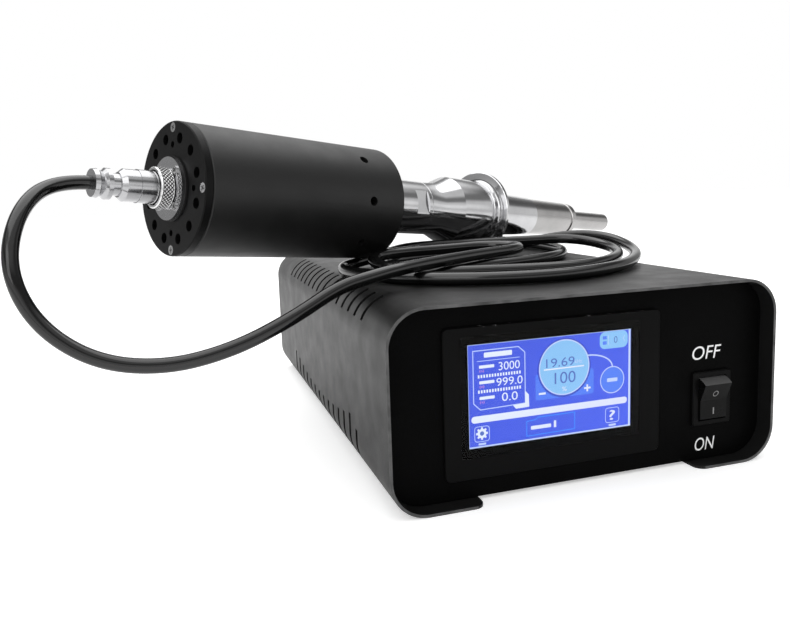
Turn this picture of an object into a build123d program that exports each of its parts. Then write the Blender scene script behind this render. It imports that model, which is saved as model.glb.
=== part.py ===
from build123d import *
import math
import os

# Probe sonicator: a desktop ultrasonic generator with its converter and probe lying on top.
# Millimetres. +X is the right of the control panel, +Y the rear, +Z up.
# The origin is on the table, under the middle of the generator's cover.

os.makedirs("parts", exist_ok=True)

# Generator cover
case_width = 228.0
case_height = 104.5
case_depth = 345.0
case_radius = 20.0
sheet = 1.5
panel_recess = 10.0
panel_sheet = 2.0
panel_gap = 0.3
panel_rim_depth = 8.0
panel_bottom_z = 2.0

# Feet folded from the cover's lower corners
foot_width = 50.0
foot_depth = 38.0
foot_corner_radius = 6.0
side_bottom_z = 4.0

# Air slots in both sides
slot_width = 4.2
slot_pitch = 15.2
slot_rear_y = 104.7
upper_slot_count = 16
upper_slot_bottom_z = 91.6
slot_inset = 14.5
lower_slot_count = 14
lower_slot_bottom_z = 7.5
lower_slot_top_z = 22.0
lower_slot_curve = 0.0012
front_slot_top_z = 27.0

# Floor of the case
tray_sheet = 1.5
tray_side_gap = 10.5
tray_end_gap = 6.5
tray_side_height = 12.0
pad_width = 24.0
pad_length = 12.0
pad_centre_x = 80.0
pad_end_inset = 7.0
screw_shank_radius = 1.5
screw_head_radius = 2.9
screw_length = 7.0
thread_clearance = 0.05

# Touch display
hmi_width = 126.0
hmi_height = 79.0
hmi_centre_x = -19.5
hmi_centre_z = 51.6
hmi_proud = 2.0
hmi_corner_radius = 3.0
hmi_body_depth = 14.0
hmi_body_margin = 5.0
hmi_wall = 2.0
cutout_clearance = 0.3
glass_width = 104.0
glass_height = 63.0
glass_thickness = 1.2
glass_inset = 0.2
active_width = 95.0
active_height = 53.8
display_centre_x = -21.4
display_centre_z = 54.7
module_width = 106.0
module_height = 62.0
module_thickness = 4.0
board_thickness = 1.6

# Power switch
switch_width = 25.4
switch_height = 31.0
switch_centre_x = 78.6
switch_centre_z = 37.4
switch_flange = 2.0
switch_corner_radius = 1.5
switch_body_width = 21.6
switch_body_height = 27.6
switch_body_depth = 22.0
switch_pocket_depth = 11.0
rocker_width = 17.6
rocker_reach = 12.2
rocker_side_gap = 0.4
rocker_end_gap = 0.5
rocker_valley = 4.2
rocker_back = 3.0
rocker_tilt = 11.0
rocker_pivot_depth = 1.0
rocker_pin_radius = 1.5
pin_clearance = 0.05
pin_seat_depth = 0.9
terminal_length = 9.0

# Cooling fan
fan_size = 80.0
fan_depth = 25.0
fan_centre_x = -58.0
fan_centre_drop = 0.25
fan_corner_radius = 4.0
fan_bore_radius = 38.0
fan_hub_radius = 17.0
fan_hub_length = 19.0
fan_blade_radius = 36.5
fan_blade_chord = 20.0
fan_blade_sheet = 1.6
fan_blade_pitch = 38.0
fan_blades = 7
fan_hole_pitch = 71.5
fan_hole_radius = 2.15
fan_shaft_radius = 2.0
fan_plate = 3.0
fan_rotor_gap = 1.0
strut_width = 4.0
strut_foot = 0.5
fan_screw_head_gap = 0.4
fan_screw_head_height = 2.2
fan_screw_length = 16.0
guard_wire_radius = 0.8
guard_bar = 1.0
guard_rings = (11.0, 18.0, 25.0, 32.0, 39.0)
guard_eye_radius = 4.2

# Rear connections
inlet_x = 30.0
inlet_z = 52.0
inlet_width = 28.0
inlet_height = 48.0
inlet_flange = 3.0
inlet_body_width = 25.0
inlet_body_height = 42.0
inlet_body_depth = 26.0
inlet_corner_radius = 3.0
mouth_width = 22.0
mouth_height = 15.0
mouth_depth = 16.0
mouth_drop = 9.0
blade_length = 9.0
blade_pitch = 7.0
drawer_width = 20.0
drawer_height = 10.0
drawer_depth = 18.0
drawer_rise = 13.0
outlet_x = 84.0
outlet_z = 34.0

# Round connectors, the same at both ends of the cable
flange_radius = 17.8
flange_sheet = 2.0
gasket_radius = 18.4
gasket_sheet = 1.0
shell_radius = 9.6
shell_length = 5.0
stem_radius = 8.0
stem_length = 12.0
stem_clearance = 0.3
ring_radius = 11.6
ring_length = 8.0
ring_gap = 0.3
plug_radius = 9.2
plug_end = 31.0
plug_step = 0.35
plug_step_at = 21.0
plug_chamfer = 2.4
neck_radius = 6.0
neck_length = 4.0
clamp_radius = 8.4
clamp_waist_radius = 6.4
clamp_rim = 2.4
clamp_length = 10.0
flange_screw_ring = 14.2
flange_screw_radius = 1.3
flange_screw_head = 2.3
flange_screw_rise = 0.9

# Converter housing and its place on the coiled cable
housing_radius = 38.0
housing_end = 146.6
housing_wall = 6.0
cap_thickness = 5.0
cap_groove = 0.6
probe_x = -202.9
probe_y = -59.35
probe_z = 163.9
probe_turn = 26.5
probe_drop = 5.6
cap_screw_ring = 34.4
cap_screw_head = 2.7
cap_screw_shank = 1.2
cap_screw_length = 9.0
vent_radius = 3.1
vent_ring = 29.0
vent_pair_angle = 16.5
small_hole_radius = 1.9
small_ring = 24.8
side_hole_radius = 3.0
side_hole_from_end = 27.5
side_hole_count = 8

# Vibrating stack, places along the axis counted from the cap's face
bolt_head_start = 56.0
bolt_head_length = 10.0
bolt_head_radius = 9.0
bolt_radius = 6.0
bolt_clearance = 0.1
back_mass_length = 30.0
stack_radius = 25.0
ceramic_radius = 24.0
ceramic_bore = 8.0
ceramic_thickness = 6.5
ceramic_count = 4
electrode_sheet = 0.4
tab_width = 6.0
tab_length = 5.0
front_shoulder_length = 12.0
collar_length = 6.0
collar_gap = 0.2
front_mass_radius = 23.2
joint_1 = 213.2
flat_start = 193.0
flat_length = 13.0
flat_depth = 1.8
booster_radius = 23.2
bulge_start = 229.0
bulge_end = 250.4
bulge_radius = 26.4
bulge_slope = 4.0
booster_waist_radius = 21.8
bead_start = 274.0
bead_radius = 23.6
flange_start = 285.5
flange_thickness = 4.0
booster_flange_radius = 28.8
joint_2 = 295.0
horn_radius = 18.4
joint_3 = 352.0
tip_base_radius = 17.1
groove_start = 394.0
groove_width = 2.0
groove_depth = 1.0
lip_end = 402.0
tip_start = 408.5
tip_radius = 8.2
tip_end = 458.6
tip_chamfer = 1.2
stud_radius = 5.0
stud_reach = 12.0
stud_clearance = 0.05

# Power electronics
power_board_width = 176.0
power_board_length = 210.0
power_board_y = -10.0
standoff_height = 8.0
standoff_radius = 3.0
standoff_inset = 8.0
heatsink_width = 46.0
heatsink_length = 110.0
heatsink_height = 42.0
heatsink_base = 5.0
heatsink_fins = 7
fin_sheet = 2.2
heatsink_x = -50.0
heatsink_y = 20.0
transformer_x = 40.0
transformer_y = 40.0
core_width = 55.0
core_depth = 28.0
core_height = 48.0
winding_width = 34.0
winding_depth = 46.0
winding_height = 30.0
inductor_x = 50.0
inductor_y = -35.0
inductor_radius = 20.0
inductor_bore = 9.0
inductor_height = 18.0
capacitor_x = 2.0
capacitor_y = -60.0
capacitor_radius = 11.0
capacitor_height = 40.0
capacitor_pitch = 25.0

# Cable
cable_radius = 3.7
coil_centre_x = 2.0
coil_centre_y = -43.0
coil_half_length = 102.0
coil_half_width = 68.0
coil_band = 30.0
coil_layer = 7.0
coil_top_inset = 3.0
coil_top_layer = 6.8
housing_room_x = -4.0
housing_room_y = -30.0

front_y = -case_depth / 2
rear_y = case_depth / 2
front_panel_y = front_y + panel_recess
rear_panel_y = rear_y - panel_recess
panel_inset = sheet + panel_gap
side_x = case_width / 2
tray_top_z = side_bottom_z + tray_sheet
tray_width = case_width - 2 * (sheet + tray_side_gap)
tray_length = case_depth - 2 * (panel_recess + panel_rim_depth + tray_end_gap)
fan_centre_z = case_height / 2 - fan_centre_drop
board_top_z = tray_top_z + standoff_height + board_thickness


def facing_front(y):
    """Plane across the case at depth y, seen from the front: x to the right, z up."""
    return Plane(origin=(0, y, 0), x_dir=(1, 0, 0), z_dir=(0, -1, 0))


def case_outline(inset, bottom_z):
    """Draw the rounded outline of the case, moved inwards by inset, standing on bottom_z."""
    height = case_height - inset - bottom_z
    with Locations((0, bottom_z + height / 2)):
        RectangleRounded(case_width - 2 * inset, height, case_radius - inset)


def case_hollow(inset, bottom_z):
    """Cut the same outline out of the sketch in hand."""
    height = case_height - inset - bottom_z
    with Locations((0, bottom_z + height / 2)):
        RectangleRounded(
            case_width - 2 * inset, height, case_radius - inset, mode=Mode.SUBTRACT
        )


def slot_y(number):
    """Depth of an air slot, counted from the rear."""
    return slot_rear_y - number * slot_pitch


def lower_slot_top(number):
    """Height of a lower air slot, on a shallow curve that is lowest in the middle."""
    if number == lower_slot_count:
        return front_slot_top_z
    return lower_slot_top_z + lower_slot_curve * slot_y(number) ** 2


def save(piece, name):
    """Label a finished piece and write it."""
    piece.part.label = name
    export_step(piece.part, f"parts/{name}.step")


def turned(plane, *profile):
    """Turn a closed profile of (distance, radius) points about the plane's x axis."""
    with BuildPart() as piece:
        with BuildSketch(plane):
            with BuildLine():
                Polyline(*profile, close=True)
            make_face()
        revolve(axis=Axis(plane.origin, plane.x_dir))
    return piece


def across(plane, distance):
    """Plane square to the turning axis of the given plane, at a distance along it."""
    return Plane(
        origin=plane.origin + plane.x_dir * distance,
        x_dir=plane.z_dir * -1,
        z_dir=plane.x_dir,
    )


# Outer cover: one wrapped sheet, open at the front, at the rear and under the middle
with BuildPart() as outer_cover:
    with BuildSketch(facing_front(front_y)):
        case_outline(0, 0)
        case_hollow(sheet, sheet)
    extrude(amount=-case_depth)
    with BuildSketch(Plane.XY):
        Rectangle(case_width - 2 * foot_width, case_depth)
        Rectangle(case_width, case_depth - 2 * foot_depth)
    extrude(amount=side_bottom_z, mode=Mode.SUBTRACT)
    foot_corners = (
        outer_cover.edges()
        .filter_by(Axis.Z)
        .filter_by(lambda e: abs(abs(e.center().X) - side_x + foot_width) < 0.1)
        .filter_by(lambda e: abs(abs(e.center().Y) - rear_y) < 0.1)
    )
    fillet(foot_corners, foot_corner_radius)
    for side in (-1, 1):
        with BuildSketch(Plane.YZ.offset(side * side_x)):
            for number in range(upper_slot_count):
                with Locations((slot_y(number), upper_slot_bottom_z)):
                    Rectangle(
                        slot_width,
                        case_height - upper_slot_bottom_z,
                        align=(Align.CENTER, Align.MIN),
                    )
            for number in range(1, lower_slot_count + 1):
                with Locations((slot_y(number), lower_slot_bottom_z)):
                    Rectangle(
                        slot_width,
                        lower_slot_top(number) - lower_slot_bottom_z,
                        align=(Align.CENTER, Align.MIN),
                    )
        extrude(amount=-side * slot_inset, mode=Mode.SUBTRACT)
    # Countersunk holes for the screws that hold the cover to its floor
    pad_y = tray_length / 2 - pad_end_inset
    pad_places = [(x, y) for x in (-pad_centre_x, pad_centre_x) for y in (-pad_y, pad_y)]
    hole_radius = screw_shank_radius + thread_clearance
    cone_height = screw_head_radius - screw_shank_radius
    with BuildSketch(Plane.XY):
        with Locations(*pad_places):
            Circle(screw_head_radius + thread_clearance)
    extrude(amount=cone_height, taper=45, mode=Mode.SUBTRACT)
    with BuildSketch(Plane.XY):
        with Locations(*pad_places):
            Circle(hole_radius)
    extrude(amount=sheet, mode=Mode.SUBTRACT)
save(outer_cover, "outer_cover")

# Floor tray, with upturned sides and four pads pressed down on to the cover's feet
with BuildPart() as base_tray:
    with BuildSketch(Plane.XY.offset(side_bottom_z)):
        Rectangle(tray_width, tray_length)
    extrude(amount=tray_sheet)
    with BuildSketch(Plane.XY.offset(side_bottom_z)):
        with Locations((-tray_width / 2 + tray_sheet / 2, 0), (tray_width / 2 - tray_sheet / 2, 0)):
            Rectangle(tray_sheet, tray_length)
    extrude(amount=tray_side_height)
    with BuildSketch(Plane.XY.offset(sheet)):
        with Locations(*pad_places):
            Rectangle(pad_width, pad_length)
    extrude(amount=side_bottom_z - sheet)
    with BuildSketch(Plane.XY):
        with Locations(*pad_places):
            Circle(hole_radius)
    extrude(amount=tray_top_z, mode=Mode.SUBTRACT)
save(base_tray, "base_tray")

with BuildPart() as cover_screws:
    with BuildSketch(Plane.XY):
        with Locations(*pad_places):
            Circle(screw_head_radius)
    extrude(amount=cone_height, taper=45)
    with BuildSketch(Plane.XY):
        with Locations(*pad_places):
            Circle(screw_shank_radius)
    extrude(amount=screw_length)
save(cover_screws, "cover_screws")

# Front panel, set back inside the cover, with a rim folded to the rear
with BuildPart() as front_panel:
    with BuildSketch(facing_front(front_panel_y)):
        case_outline(panel_inset, panel_bottom_z)
    extrude(amount=-panel_sheet)
    with BuildSketch(facing_front(front_panel_y + panel_sheet)):
        case_outline(panel_inset, panel_bottom_z)
        case_hollow(panel_inset + panel_sheet, panel_bottom_z + panel_sheet)
    extrude(amount=-panel_rim_depth)
    with BuildSketch(facing_front(front_panel_y)):
        with Locations((hmi_centre_x, hmi_centre_z)):
            RectangleRounded(
                hmi_width - 2 * hmi_body_margin + 2 * cutout_clearance,
                hmi_height - 2 * hmi_body_margin + 2 * cutout_clearance,
                hmi_corner_radius,
            )
        with Locations((switch_centre_x, switch_centre_z)):
            Rectangle(
                switch_body_width + 2 * cutout_clearance,
                switch_body_height + 2 * cutout_clearance,
            )
    extrude(amount=-panel_sheet, mode=Mode.SUBTRACT)
save(front_panel, "front_panel")

# Display frame: a flat bezel with a shallow pocket for the glass and a box behind it
hmi_front_y = front_panel_y - hmi_proud
with BuildPart() as display_bezel:
    with BuildSketch(facing_front(front_panel_y)):
        with Locations((hmi_centre_x, hmi_centre_z)):
            RectangleRounded(hmi_width, hmi_height, hmi_corner_radius)
    extrude(amount=hmi_proud)
    bezel_front_edges = display_bezel.faces().sort_by(Axis.Y)[0].edges()
    chamfer(bezel_front_edges, 0.4)
    with BuildSketch(facing_front(front_panel_y)):
        with Locations((hmi_centre_x, hmi_centre_z)):
            RectangleRounded(
                hmi_width - 2 * hmi_body_margin,
                hmi_height - 2 * hmi_body_margin,
                hmi_corner_radius,
            )
            RectangleRounded(
                hmi_width - 2 * hmi_body_margin - 2 * hmi_wall,
                hmi_height - 2 * hmi_body_margin - 2 * hmi_wall,
                hmi_corner_radius - hmi_wall / 2,
                mode=Mode.SUBTRACT,
            )
    extrude(amount=-hmi_body_depth)
    with BuildSketch(facing_front(hmi_front_y)):
        with Locations((display_centre_x, display_centre_z)):
            Rectangle(glass_width, glass_height)
    extrude(amount=-(glass_inset + glass_thickness), mode=Mode.SUBTRACT)
    with BuildSketch(facing_front(hmi_front_y)):
        with Locations((display_centre_x, display_centre_z)):
            Rectangle(active_width, active_height)
    extrude(amount=-hmi_proud, mode=Mode.SUBTRACT)
save(display_bezel, "display_bezel")

with BuildPart() as touch_glass:
    with BuildSketch(facing_front(hmi_front_y + glass_inset)):
        with Locations((display_centre_x, display_centre_z)):
            Rectangle(glass_width - 2 * thread_clearance, glass_height - 2 * thread_clearance)
    extrude(amount=-glass_thickness)
save(touch_glass, "touch_glass")

with BuildPart() as display_module:
    with BuildSketch(facing_front(front_panel_y)):
        with Locations((display_centre_x, hmi_centre_z)):
            Rectangle(module_width, module_height)
    extrude(amount=-module_thickness)
save(display_module, "display_module")

# Control board, which closes the display's box from behind and carries its chips
with BuildPart() as control_board:
    with BuildSketch(facing_front(front_panel_y + hmi_body_depth)):
        with Locations((hmi_centre_x, hmi_centre_z)):
            Rectangle(hmi_width - 2 * hmi_body_margin, hmi_height - 2 * hmi_body_margin)
    extrude(amount=-board_thickness)
    with BuildSketch(facing_front(front_panel_y + hmi_body_depth + board_thickness)):
        with Locations((hmi_centre_x, hmi_centre_z)):
            with GridLocations(32, 26, 3, 2):
                Rectangle(14, 14)
    extrude(amount=-2.4)
save(control_board, "control_board")

# Power switch: bezel and body in one, with a pocket for the rocker
switch_plane = facing_front(front_panel_y)
pivot_y = front_panel_y + rocker_pivot_depth
with BuildPart() as switch_body:
    with BuildSketch(switch_plane):
        with Locations((switch_centre_x, switch_centre_z)):
            RectangleRounded(switch_width, switch_height, switch_corner_radius)
    extrude(amount=switch_flange)
    switch_front_edges = switch_body.faces().sort_by(Axis.Y)[0].edges()
    chamfer(switch_front_edges, 0.6)
    with BuildSketch(switch_plane):
        with Locations((switch_centre_x, switch_centre_z)):
            Rectangle(switch_body_width, switch_body_height)
    extrude(amount=-switch_body_depth)
    with BuildSketch(facing_front(front_panel_y - switch_flange)):
        with Locations((switch_centre_x, switch_centre_z)):
            Rectangle(
                rocker_width + 2 * rocker_side_gap,
                2 * (rocker_reach + rocker_end_gap),
            )
    extrude(amount=-switch_pocket_depth, mode=Mode.SUBTRACT)
    pin_half = rocker_width / 2 + rocker_side_gap + pin_seat_depth
    with BuildSketch(Plane.YZ.offset(switch_centre_x)):
        with Locations((pivot_y, switch_centre_z)):
            Circle(rocker_pin_radius)
    extrude(amount=pin_half, both=True, mode=Mode.SUBTRACT)
    with BuildSketch(facing_front(front_panel_y + switch_body_depth)):
        with Locations((switch_centre_x, switch_centre_z)):
            with GridLocations(9, 8, 2, 3):
                Rectangle(0.8, 4.8)
    extrude(amount=-terminal_length)
save(switch_body, "switch_body")

with BuildPart() as rocker_pin:
    with BuildSketch(Plane.YZ.offset(switch_centre_x)):
        with Locations((pivot_y, switch_centre_z)):
            Circle(rocker_pin_radius)
    extrude(amount=pin_half, both=True)
save(rocker_pin, "rocker_pin")

# Rocker, pressed at its lower half: two flat faces meet in a shallow valley, its ends are round
rocker_angle = math.radians(rocker_tilt)
rocker_plane = Plane(
    origin=(switch_centre_x, pivot_y, switch_centre_z),
    x_dir=(0, math.cos(rocker_angle), math.sin(rocker_angle)),
    z_dir=(1, 0, 0),
)
rocker_slope = math.tan(rocker_angle)
with BuildPart() as power_rocker:
    with BuildSketch(rocker_plane):
        Circle(rocker_reach)
        with BuildLine():
            Polyline(
                (-rocker_valley, 0),
                (-rocker_valley - rocker_reach * rocker_slope, rocker_reach),
                (-rocker_valley - rocker_reach * rocker_slope, rocker_reach * 2),
                (rocker_back, rocker_reach * 2),
                (rocker_back, -rocker_reach * 2),
                (-rocker_valley - rocker_reach * rocker_slope, -rocker_reach * 2),
                (-rocker_valley - rocker_reach * rocker_slope, -rocker_reach),
                close=True,
            )
        make_face(mode=Mode.INTERSECT)
    extrude(amount=rocker_width / 2, both=True)
    with BuildSketch(rocker_plane):
        Circle(rocker_pin_radius + pin_clearance)
    extrude(amount=rocker_width / 2, both=True, mode=Mode.SUBTRACT)
save(power_rocker, "power_rocker")

# Rear panel with its fan opening, mains inlet, cable outlet and folded rim
panel_inner_y = rear_panel_y - panel_sheet
with BuildPart() as rear_panel:
    with BuildSketch(facing_front(panel_inner_y)):
        case_outline(panel_inset, panel_bottom_z)
        with Locations((fan_centre_x, fan_centre_z)):
            Circle(fan_bore_radius, mode=Mode.SUBTRACT)
            with GridLocations(fan_hole_pitch, fan_hole_pitch, 2, 2):
                Circle(fan_hole_radius, mode=Mode.SUBTRACT)
        with Locations((inlet_x, inlet_z)):
            Rectangle(
                inlet_body_width + 2 * cutout_clearance,
                inlet_body_height + 2 * cutout_clearance,
                mode=Mode.SUBTRACT,
            )
        with Locations((outlet_x, outlet_z)):
            Circle(stem_radius + stem_clearance, mode=Mode.SUBTRACT)
    extrude(amount=-panel_sheet)
    with BuildSketch(facing_front(panel_inner_y)):
        case_outline(panel_inset, panel_bottom_z)
        case_hollow(panel_inset + panel_sheet, panel_bottom_z + panel_sheet)
    extrude(amount=panel_rim_depth)
save(rear_panel, "rear_panel")

# Fan frame behind the rear panel, with a motor plate on four struts and a shaft
fan_plane = facing_front(panel_inner_y)
fan_centre = (fan_centre_x, fan_centre_z)
with BuildPart() as fan_frame:
    with BuildSketch(fan_plane):
        with Locations(fan_centre):
            RectangleRounded(fan_size, fan_size, fan_corner_radius)
            Circle(fan_bore_radius, mode=Mode.SUBTRACT)
            with GridLocations(fan_hole_pitch, fan_hole_pitch, 2, 2):
                Circle(fan_hole_radius, mode=Mode.SUBTRACT)
    extrude(amount=fan_depth)
    with BuildSketch(facing_front(panel_inner_y - fan_depth + fan_plate)):
        with Locations(fan_centre):
            Circle(fan_hub_radius)
            with PolarLocations(0, 4, start_angle=45):
                Rectangle(2 * (fan_bore_radius + strut_foot), strut_width)
    extrude(amount=fan_plate)
    with BuildSketch(facing_front(panel_inner_y - fan_depth + fan_plate)):
        with Locations(fan_centre):
            Circle(fan_shaft_radius)
    extrude(amount=-(fan_rotor_gap + fan_hub_length - fan_plate))
save(fan_frame, "fan_frame")

hub_front_y = panel_inner_y - fan_depth + fan_plate + fan_rotor_gap
with BuildPart() as fan_rotor:
    with BuildSketch(facing_front(hub_front_y)):
        with Locations(fan_centre):
            Circle(fan_hub_radius)
    extrude(amount=-fan_hub_length)
    hub_rear_edge = fan_rotor.faces().sort_by(Axis.Y)[-1].edges()
    fillet(hub_rear_edge, 1.5)
    blade_y = hub_front_y + fan_hub_length / 2
    for number in range(fan_blades):
        turn = 360 / fan_blades * number
        blade_plane = Plane(
            origin=(fan_centre_x, blade_y, fan_centre_z),
            x_dir=(0, 1, 0),
            z_dir=(math.cos(math.radians(turn)), 0, math.sin(math.radians(turn))),
        )
        with BuildSketch(blade_plane.offset(fan_hub_radius - 1.5)):
            Rectangle(fan_blade_chord, fan_blade_sheet, rotation=fan_blade_pitch)
        extrude(amount=fan_blade_radius - fan_hub_radius)
    with BuildSketch(facing_front(hub_front_y)):
        with Locations(fan_centre):
            Circle(fan_shaft_radius + pin_clearance)
    extrude(amount=-(fan_hub_length - fan_plate), mode=Mode.SUBTRACT)
save(fan_rotor, "fan_rotor")

# Wire finger guard on the outside of the rear panel
guard_y = rear_panel_y + guard_wire_radius
eye_reach = fan_hole_pitch / math.sqrt(2)
with BuildPart() as fan_guard:
    for ring in guard_rings:
        with BuildSketch(Plane(origin=(fan_centre_x, guard_y, fan_centre_z), x_dir=(1, 0, 0), z_dir=(0, 0, 1))):
            with Locations((ring, 0)):
                Circle(guard_wire_radius)
        revolve(axis=Axis((fan_centre_x, guard_y, fan_centre_z), (0, 1, 0)))
    with BuildSketch(facing_front(guard_y - guard_bar / 2)):
        with Locations(fan_centre):
            with PolarLocations(0, 4, start_angle=45):
                Rectangle(2 * eye_reach, guard_bar)
    extrude(amount=-guard_bar)
    with BuildSketch(facing_front(rear_panel_y)):
        with Locations(fan_centre):
            with GridLocations(fan_hole_pitch, fan_hole_pitch, 2, 2):
                Circle(guard_eye_radius)
    extrude(amount=-2 * guard_wire_radius)
    with BuildSketch(facing_front(rear_panel_y)):
        with Locations(fan_centre):
            with GridLocations(fan_hole_pitch, fan_hole_pitch, 2, 2):
                Circle(fan_hole_radius)
    extrude(amount=-2 * guard_wire_radius, mode=Mode.SUBTRACT)
save(fan_guard, "fan_guard")

with BuildPart() as fan_screws:
    with BuildSketch(facing_front(guard_y + guard_wire_radius)):
        with Locations(fan_centre):
            with GridLocations(fan_hole_pitch, fan_hole_pitch, 2, 2):
                Circle(guard_eye_radius - fan_screw_head_gap)
    extrude(amount=-fan_screw_head_height)
    with BuildSketch(facing_front(guard_y + guard_wire_radius)):
        with Locations(fan_centre):
            with GridLocations(fan_hole_pitch, fan_hole_pitch, 2, 2):
                Circle(fan_hole_radius - thread_clearance)
    extrude(amount=fan_screw_length)
save(fan_screws, "fan_screws")

# Mains inlet with a socket mouth below and a fuse drawer above
inlet_back = facing_front(rear_panel_y)
mouth_place = (inlet_x, inlet_z - mouth_drop)
with BuildPart() as mains_inlet:
    with BuildSketch(inlet_back):
        with Locations((inlet_x, inlet_z)):
            RectangleRounded(inlet_width + 2 * inlet_flange, inlet_height, inlet_corner_radius)
    extrude(amount=-inlet_flange)
    with BuildSketch(inlet_back):
        with Locations((inlet_x, inlet_z)):
            Rectangle(inlet_body_width, inlet_body_height)
    extrude(amount=inlet_body_depth)
    with BuildSketch(facing_front(rear_panel_y + inlet_flange)):
        with Locations(mouth_place):
            Rectangle(mouth_width, mouth_height)
    extrude(amount=mouth_depth, mode=Mode.SUBTRACT)
    with BuildSketch(facing_front(rear_panel_y + inlet_flange)):
        with Locations((inlet_x, inlet_z + drawer_rise)):
            Rectangle(drawer_width, drawer_height)
    extrude(amount=drawer_depth, mode=Mode.SUBTRACT)
    with BuildSketch(facing_front(rear_panel_y + inlet_flange - mouth_depth)):
        with Locations(mouth_place):
            with Locations((0, 2), (-blade_pitch, -2), (blade_pitch, -2)):
                Rectangle(2, 4)
    extrude(amount=-blade_length)
save(mains_inlet, "mains_inlet")

with BuildPart() as fuse_drawer:
    with BuildSketch(facing_front(rear_panel_y + inlet_flange)):
        with Locations((inlet_x, inlet_z + drawer_rise)):
            Rectangle(drawer_width - 2 * thread_clearance, drawer_height - 2 * thread_clearance)
    extrude(amount=drawer_depth - 0.5)
    with BuildSketch(facing_front(rear_panel_y + inlet_flange)):
        with Locations((inlet_x, inlet_z + drawer_rise - drawer_height / 4)):
            Rectangle(drawer_width / 2, 1.6)
    extrude(amount=-1.0)
save(fuse_drawer, "fuse_drawer")

# Electronics on the floor tray
stand_x = power_board_width / 2 - standoff_inset
stand_y = power_board_length / 2 - standoff_inset
with BuildPart() as board_standoffs:
    with BuildSketch(Plane.XY.offset(tray_top_z)):
        with Locations((0, power_board_y)):
            with GridLocations(2 * stand_x, 2 * stand_y, 2, 2):
                RegularPolygon(standoff_radius, 6)
    extrude(amount=standoff_height)
save(board_standoffs, "board_standoffs")

with BuildPart() as power_board:
    with BuildSketch(Plane.XY.offset(tray_top_z + standoff_height)):
        with Locations((0, power_board_y)):
            Rectangle(power_board_width, power_board_length)
    extrude(amount=board_thickness)
save(power_board, "power_board")

with BuildPart() as heatsink:
    with BuildSketch(Plane.XY.offset(board_top_z)):
        with Locations((heatsink_x, heatsink_y)):
            Rectangle(heatsink_width, heatsink_length)
    extrude(amount=heatsink_base)
    with BuildSketch(Plane.XY.offset(board_top_z + heatsink_base)):
        with Locations((heatsink_x, heatsink_y)):
            fin_pitch = (heatsink_width - fin_sheet) / (heatsink_fins - 1)
            with GridLocations(fin_pitch, 0, heatsink_fins, 1):
                Rectangle(fin_sheet, heatsink_length)
    extrude(amount=heatsink_height - heatsink_base)
save(heatsink, "heatsink")

with BuildPart() as transformer:
    with BuildSketch(Plane.XY.offset(board_top_z)):
        with Locations((transformer_x, transformer_y)):
            Rectangle(core_width, core_depth)
    extrude(amount=core_height)
    with BuildSketch(Plane.XY.offset(board_top_z + (core_height - winding_height) / 2)):
        with Locations((transformer_x, transformer_y)):
            RectangleRounded(winding_width, winding_depth, 6)
    extrude(amount=winding_height)
save(transformer, "transformer")

with BuildPart() as inductor:
    with BuildSketch(Plane.XY.offset(board_top_z)):
        with Locations((inductor_x, inductor_y)):
            Circle(inductor_radius)
            Circle(inductor_bore, mode=Mode.SUBTRACT)
    extrude(amount=inductor_height)
    fillet(inductor.edges().filter_by(GeomType.CIRCLE), 3)
save(inductor, "inductor")

with BuildPart() as capacitors:
    with BuildSketch(Plane.XY.offset(board_top_z)):
        with Locations((capacitor_x, capacitor_y)):
            with GridLocations(capacitor_pitch, capacitor_pitch, 2, 2):
                Circle(capacitor_radius)
    extrude(amount=capacitor_height)
save(capacitors, "capacitors")

# The probe's axis runs from the cap's outer face towards the tip, a little down and to the rear
turn = math.radians(probe_turn)
drop = math.radians(probe_drop)
probe_axis = Vector(
    math.cos(drop) * math.cos(turn), math.cos(drop) * math.sin(turn), -math.sin(drop)
)
probe_side = Vector(-math.sin(turn), math.cos(turn), 0)
probe = Plane(origin=(probe_x, probe_y, probe_z), x_dir=probe_axis, z_dir=probe_side * -1)
front_port = Plane(origin=probe.origin, x_dir=probe_axis * -1, z_dir=probe_side)
rear_port = Plane(origin=(outlet_x, rear_panel_y, outlet_z), x_dir=(0, 1, 0), z_dir=(1, 0, 0))


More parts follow.
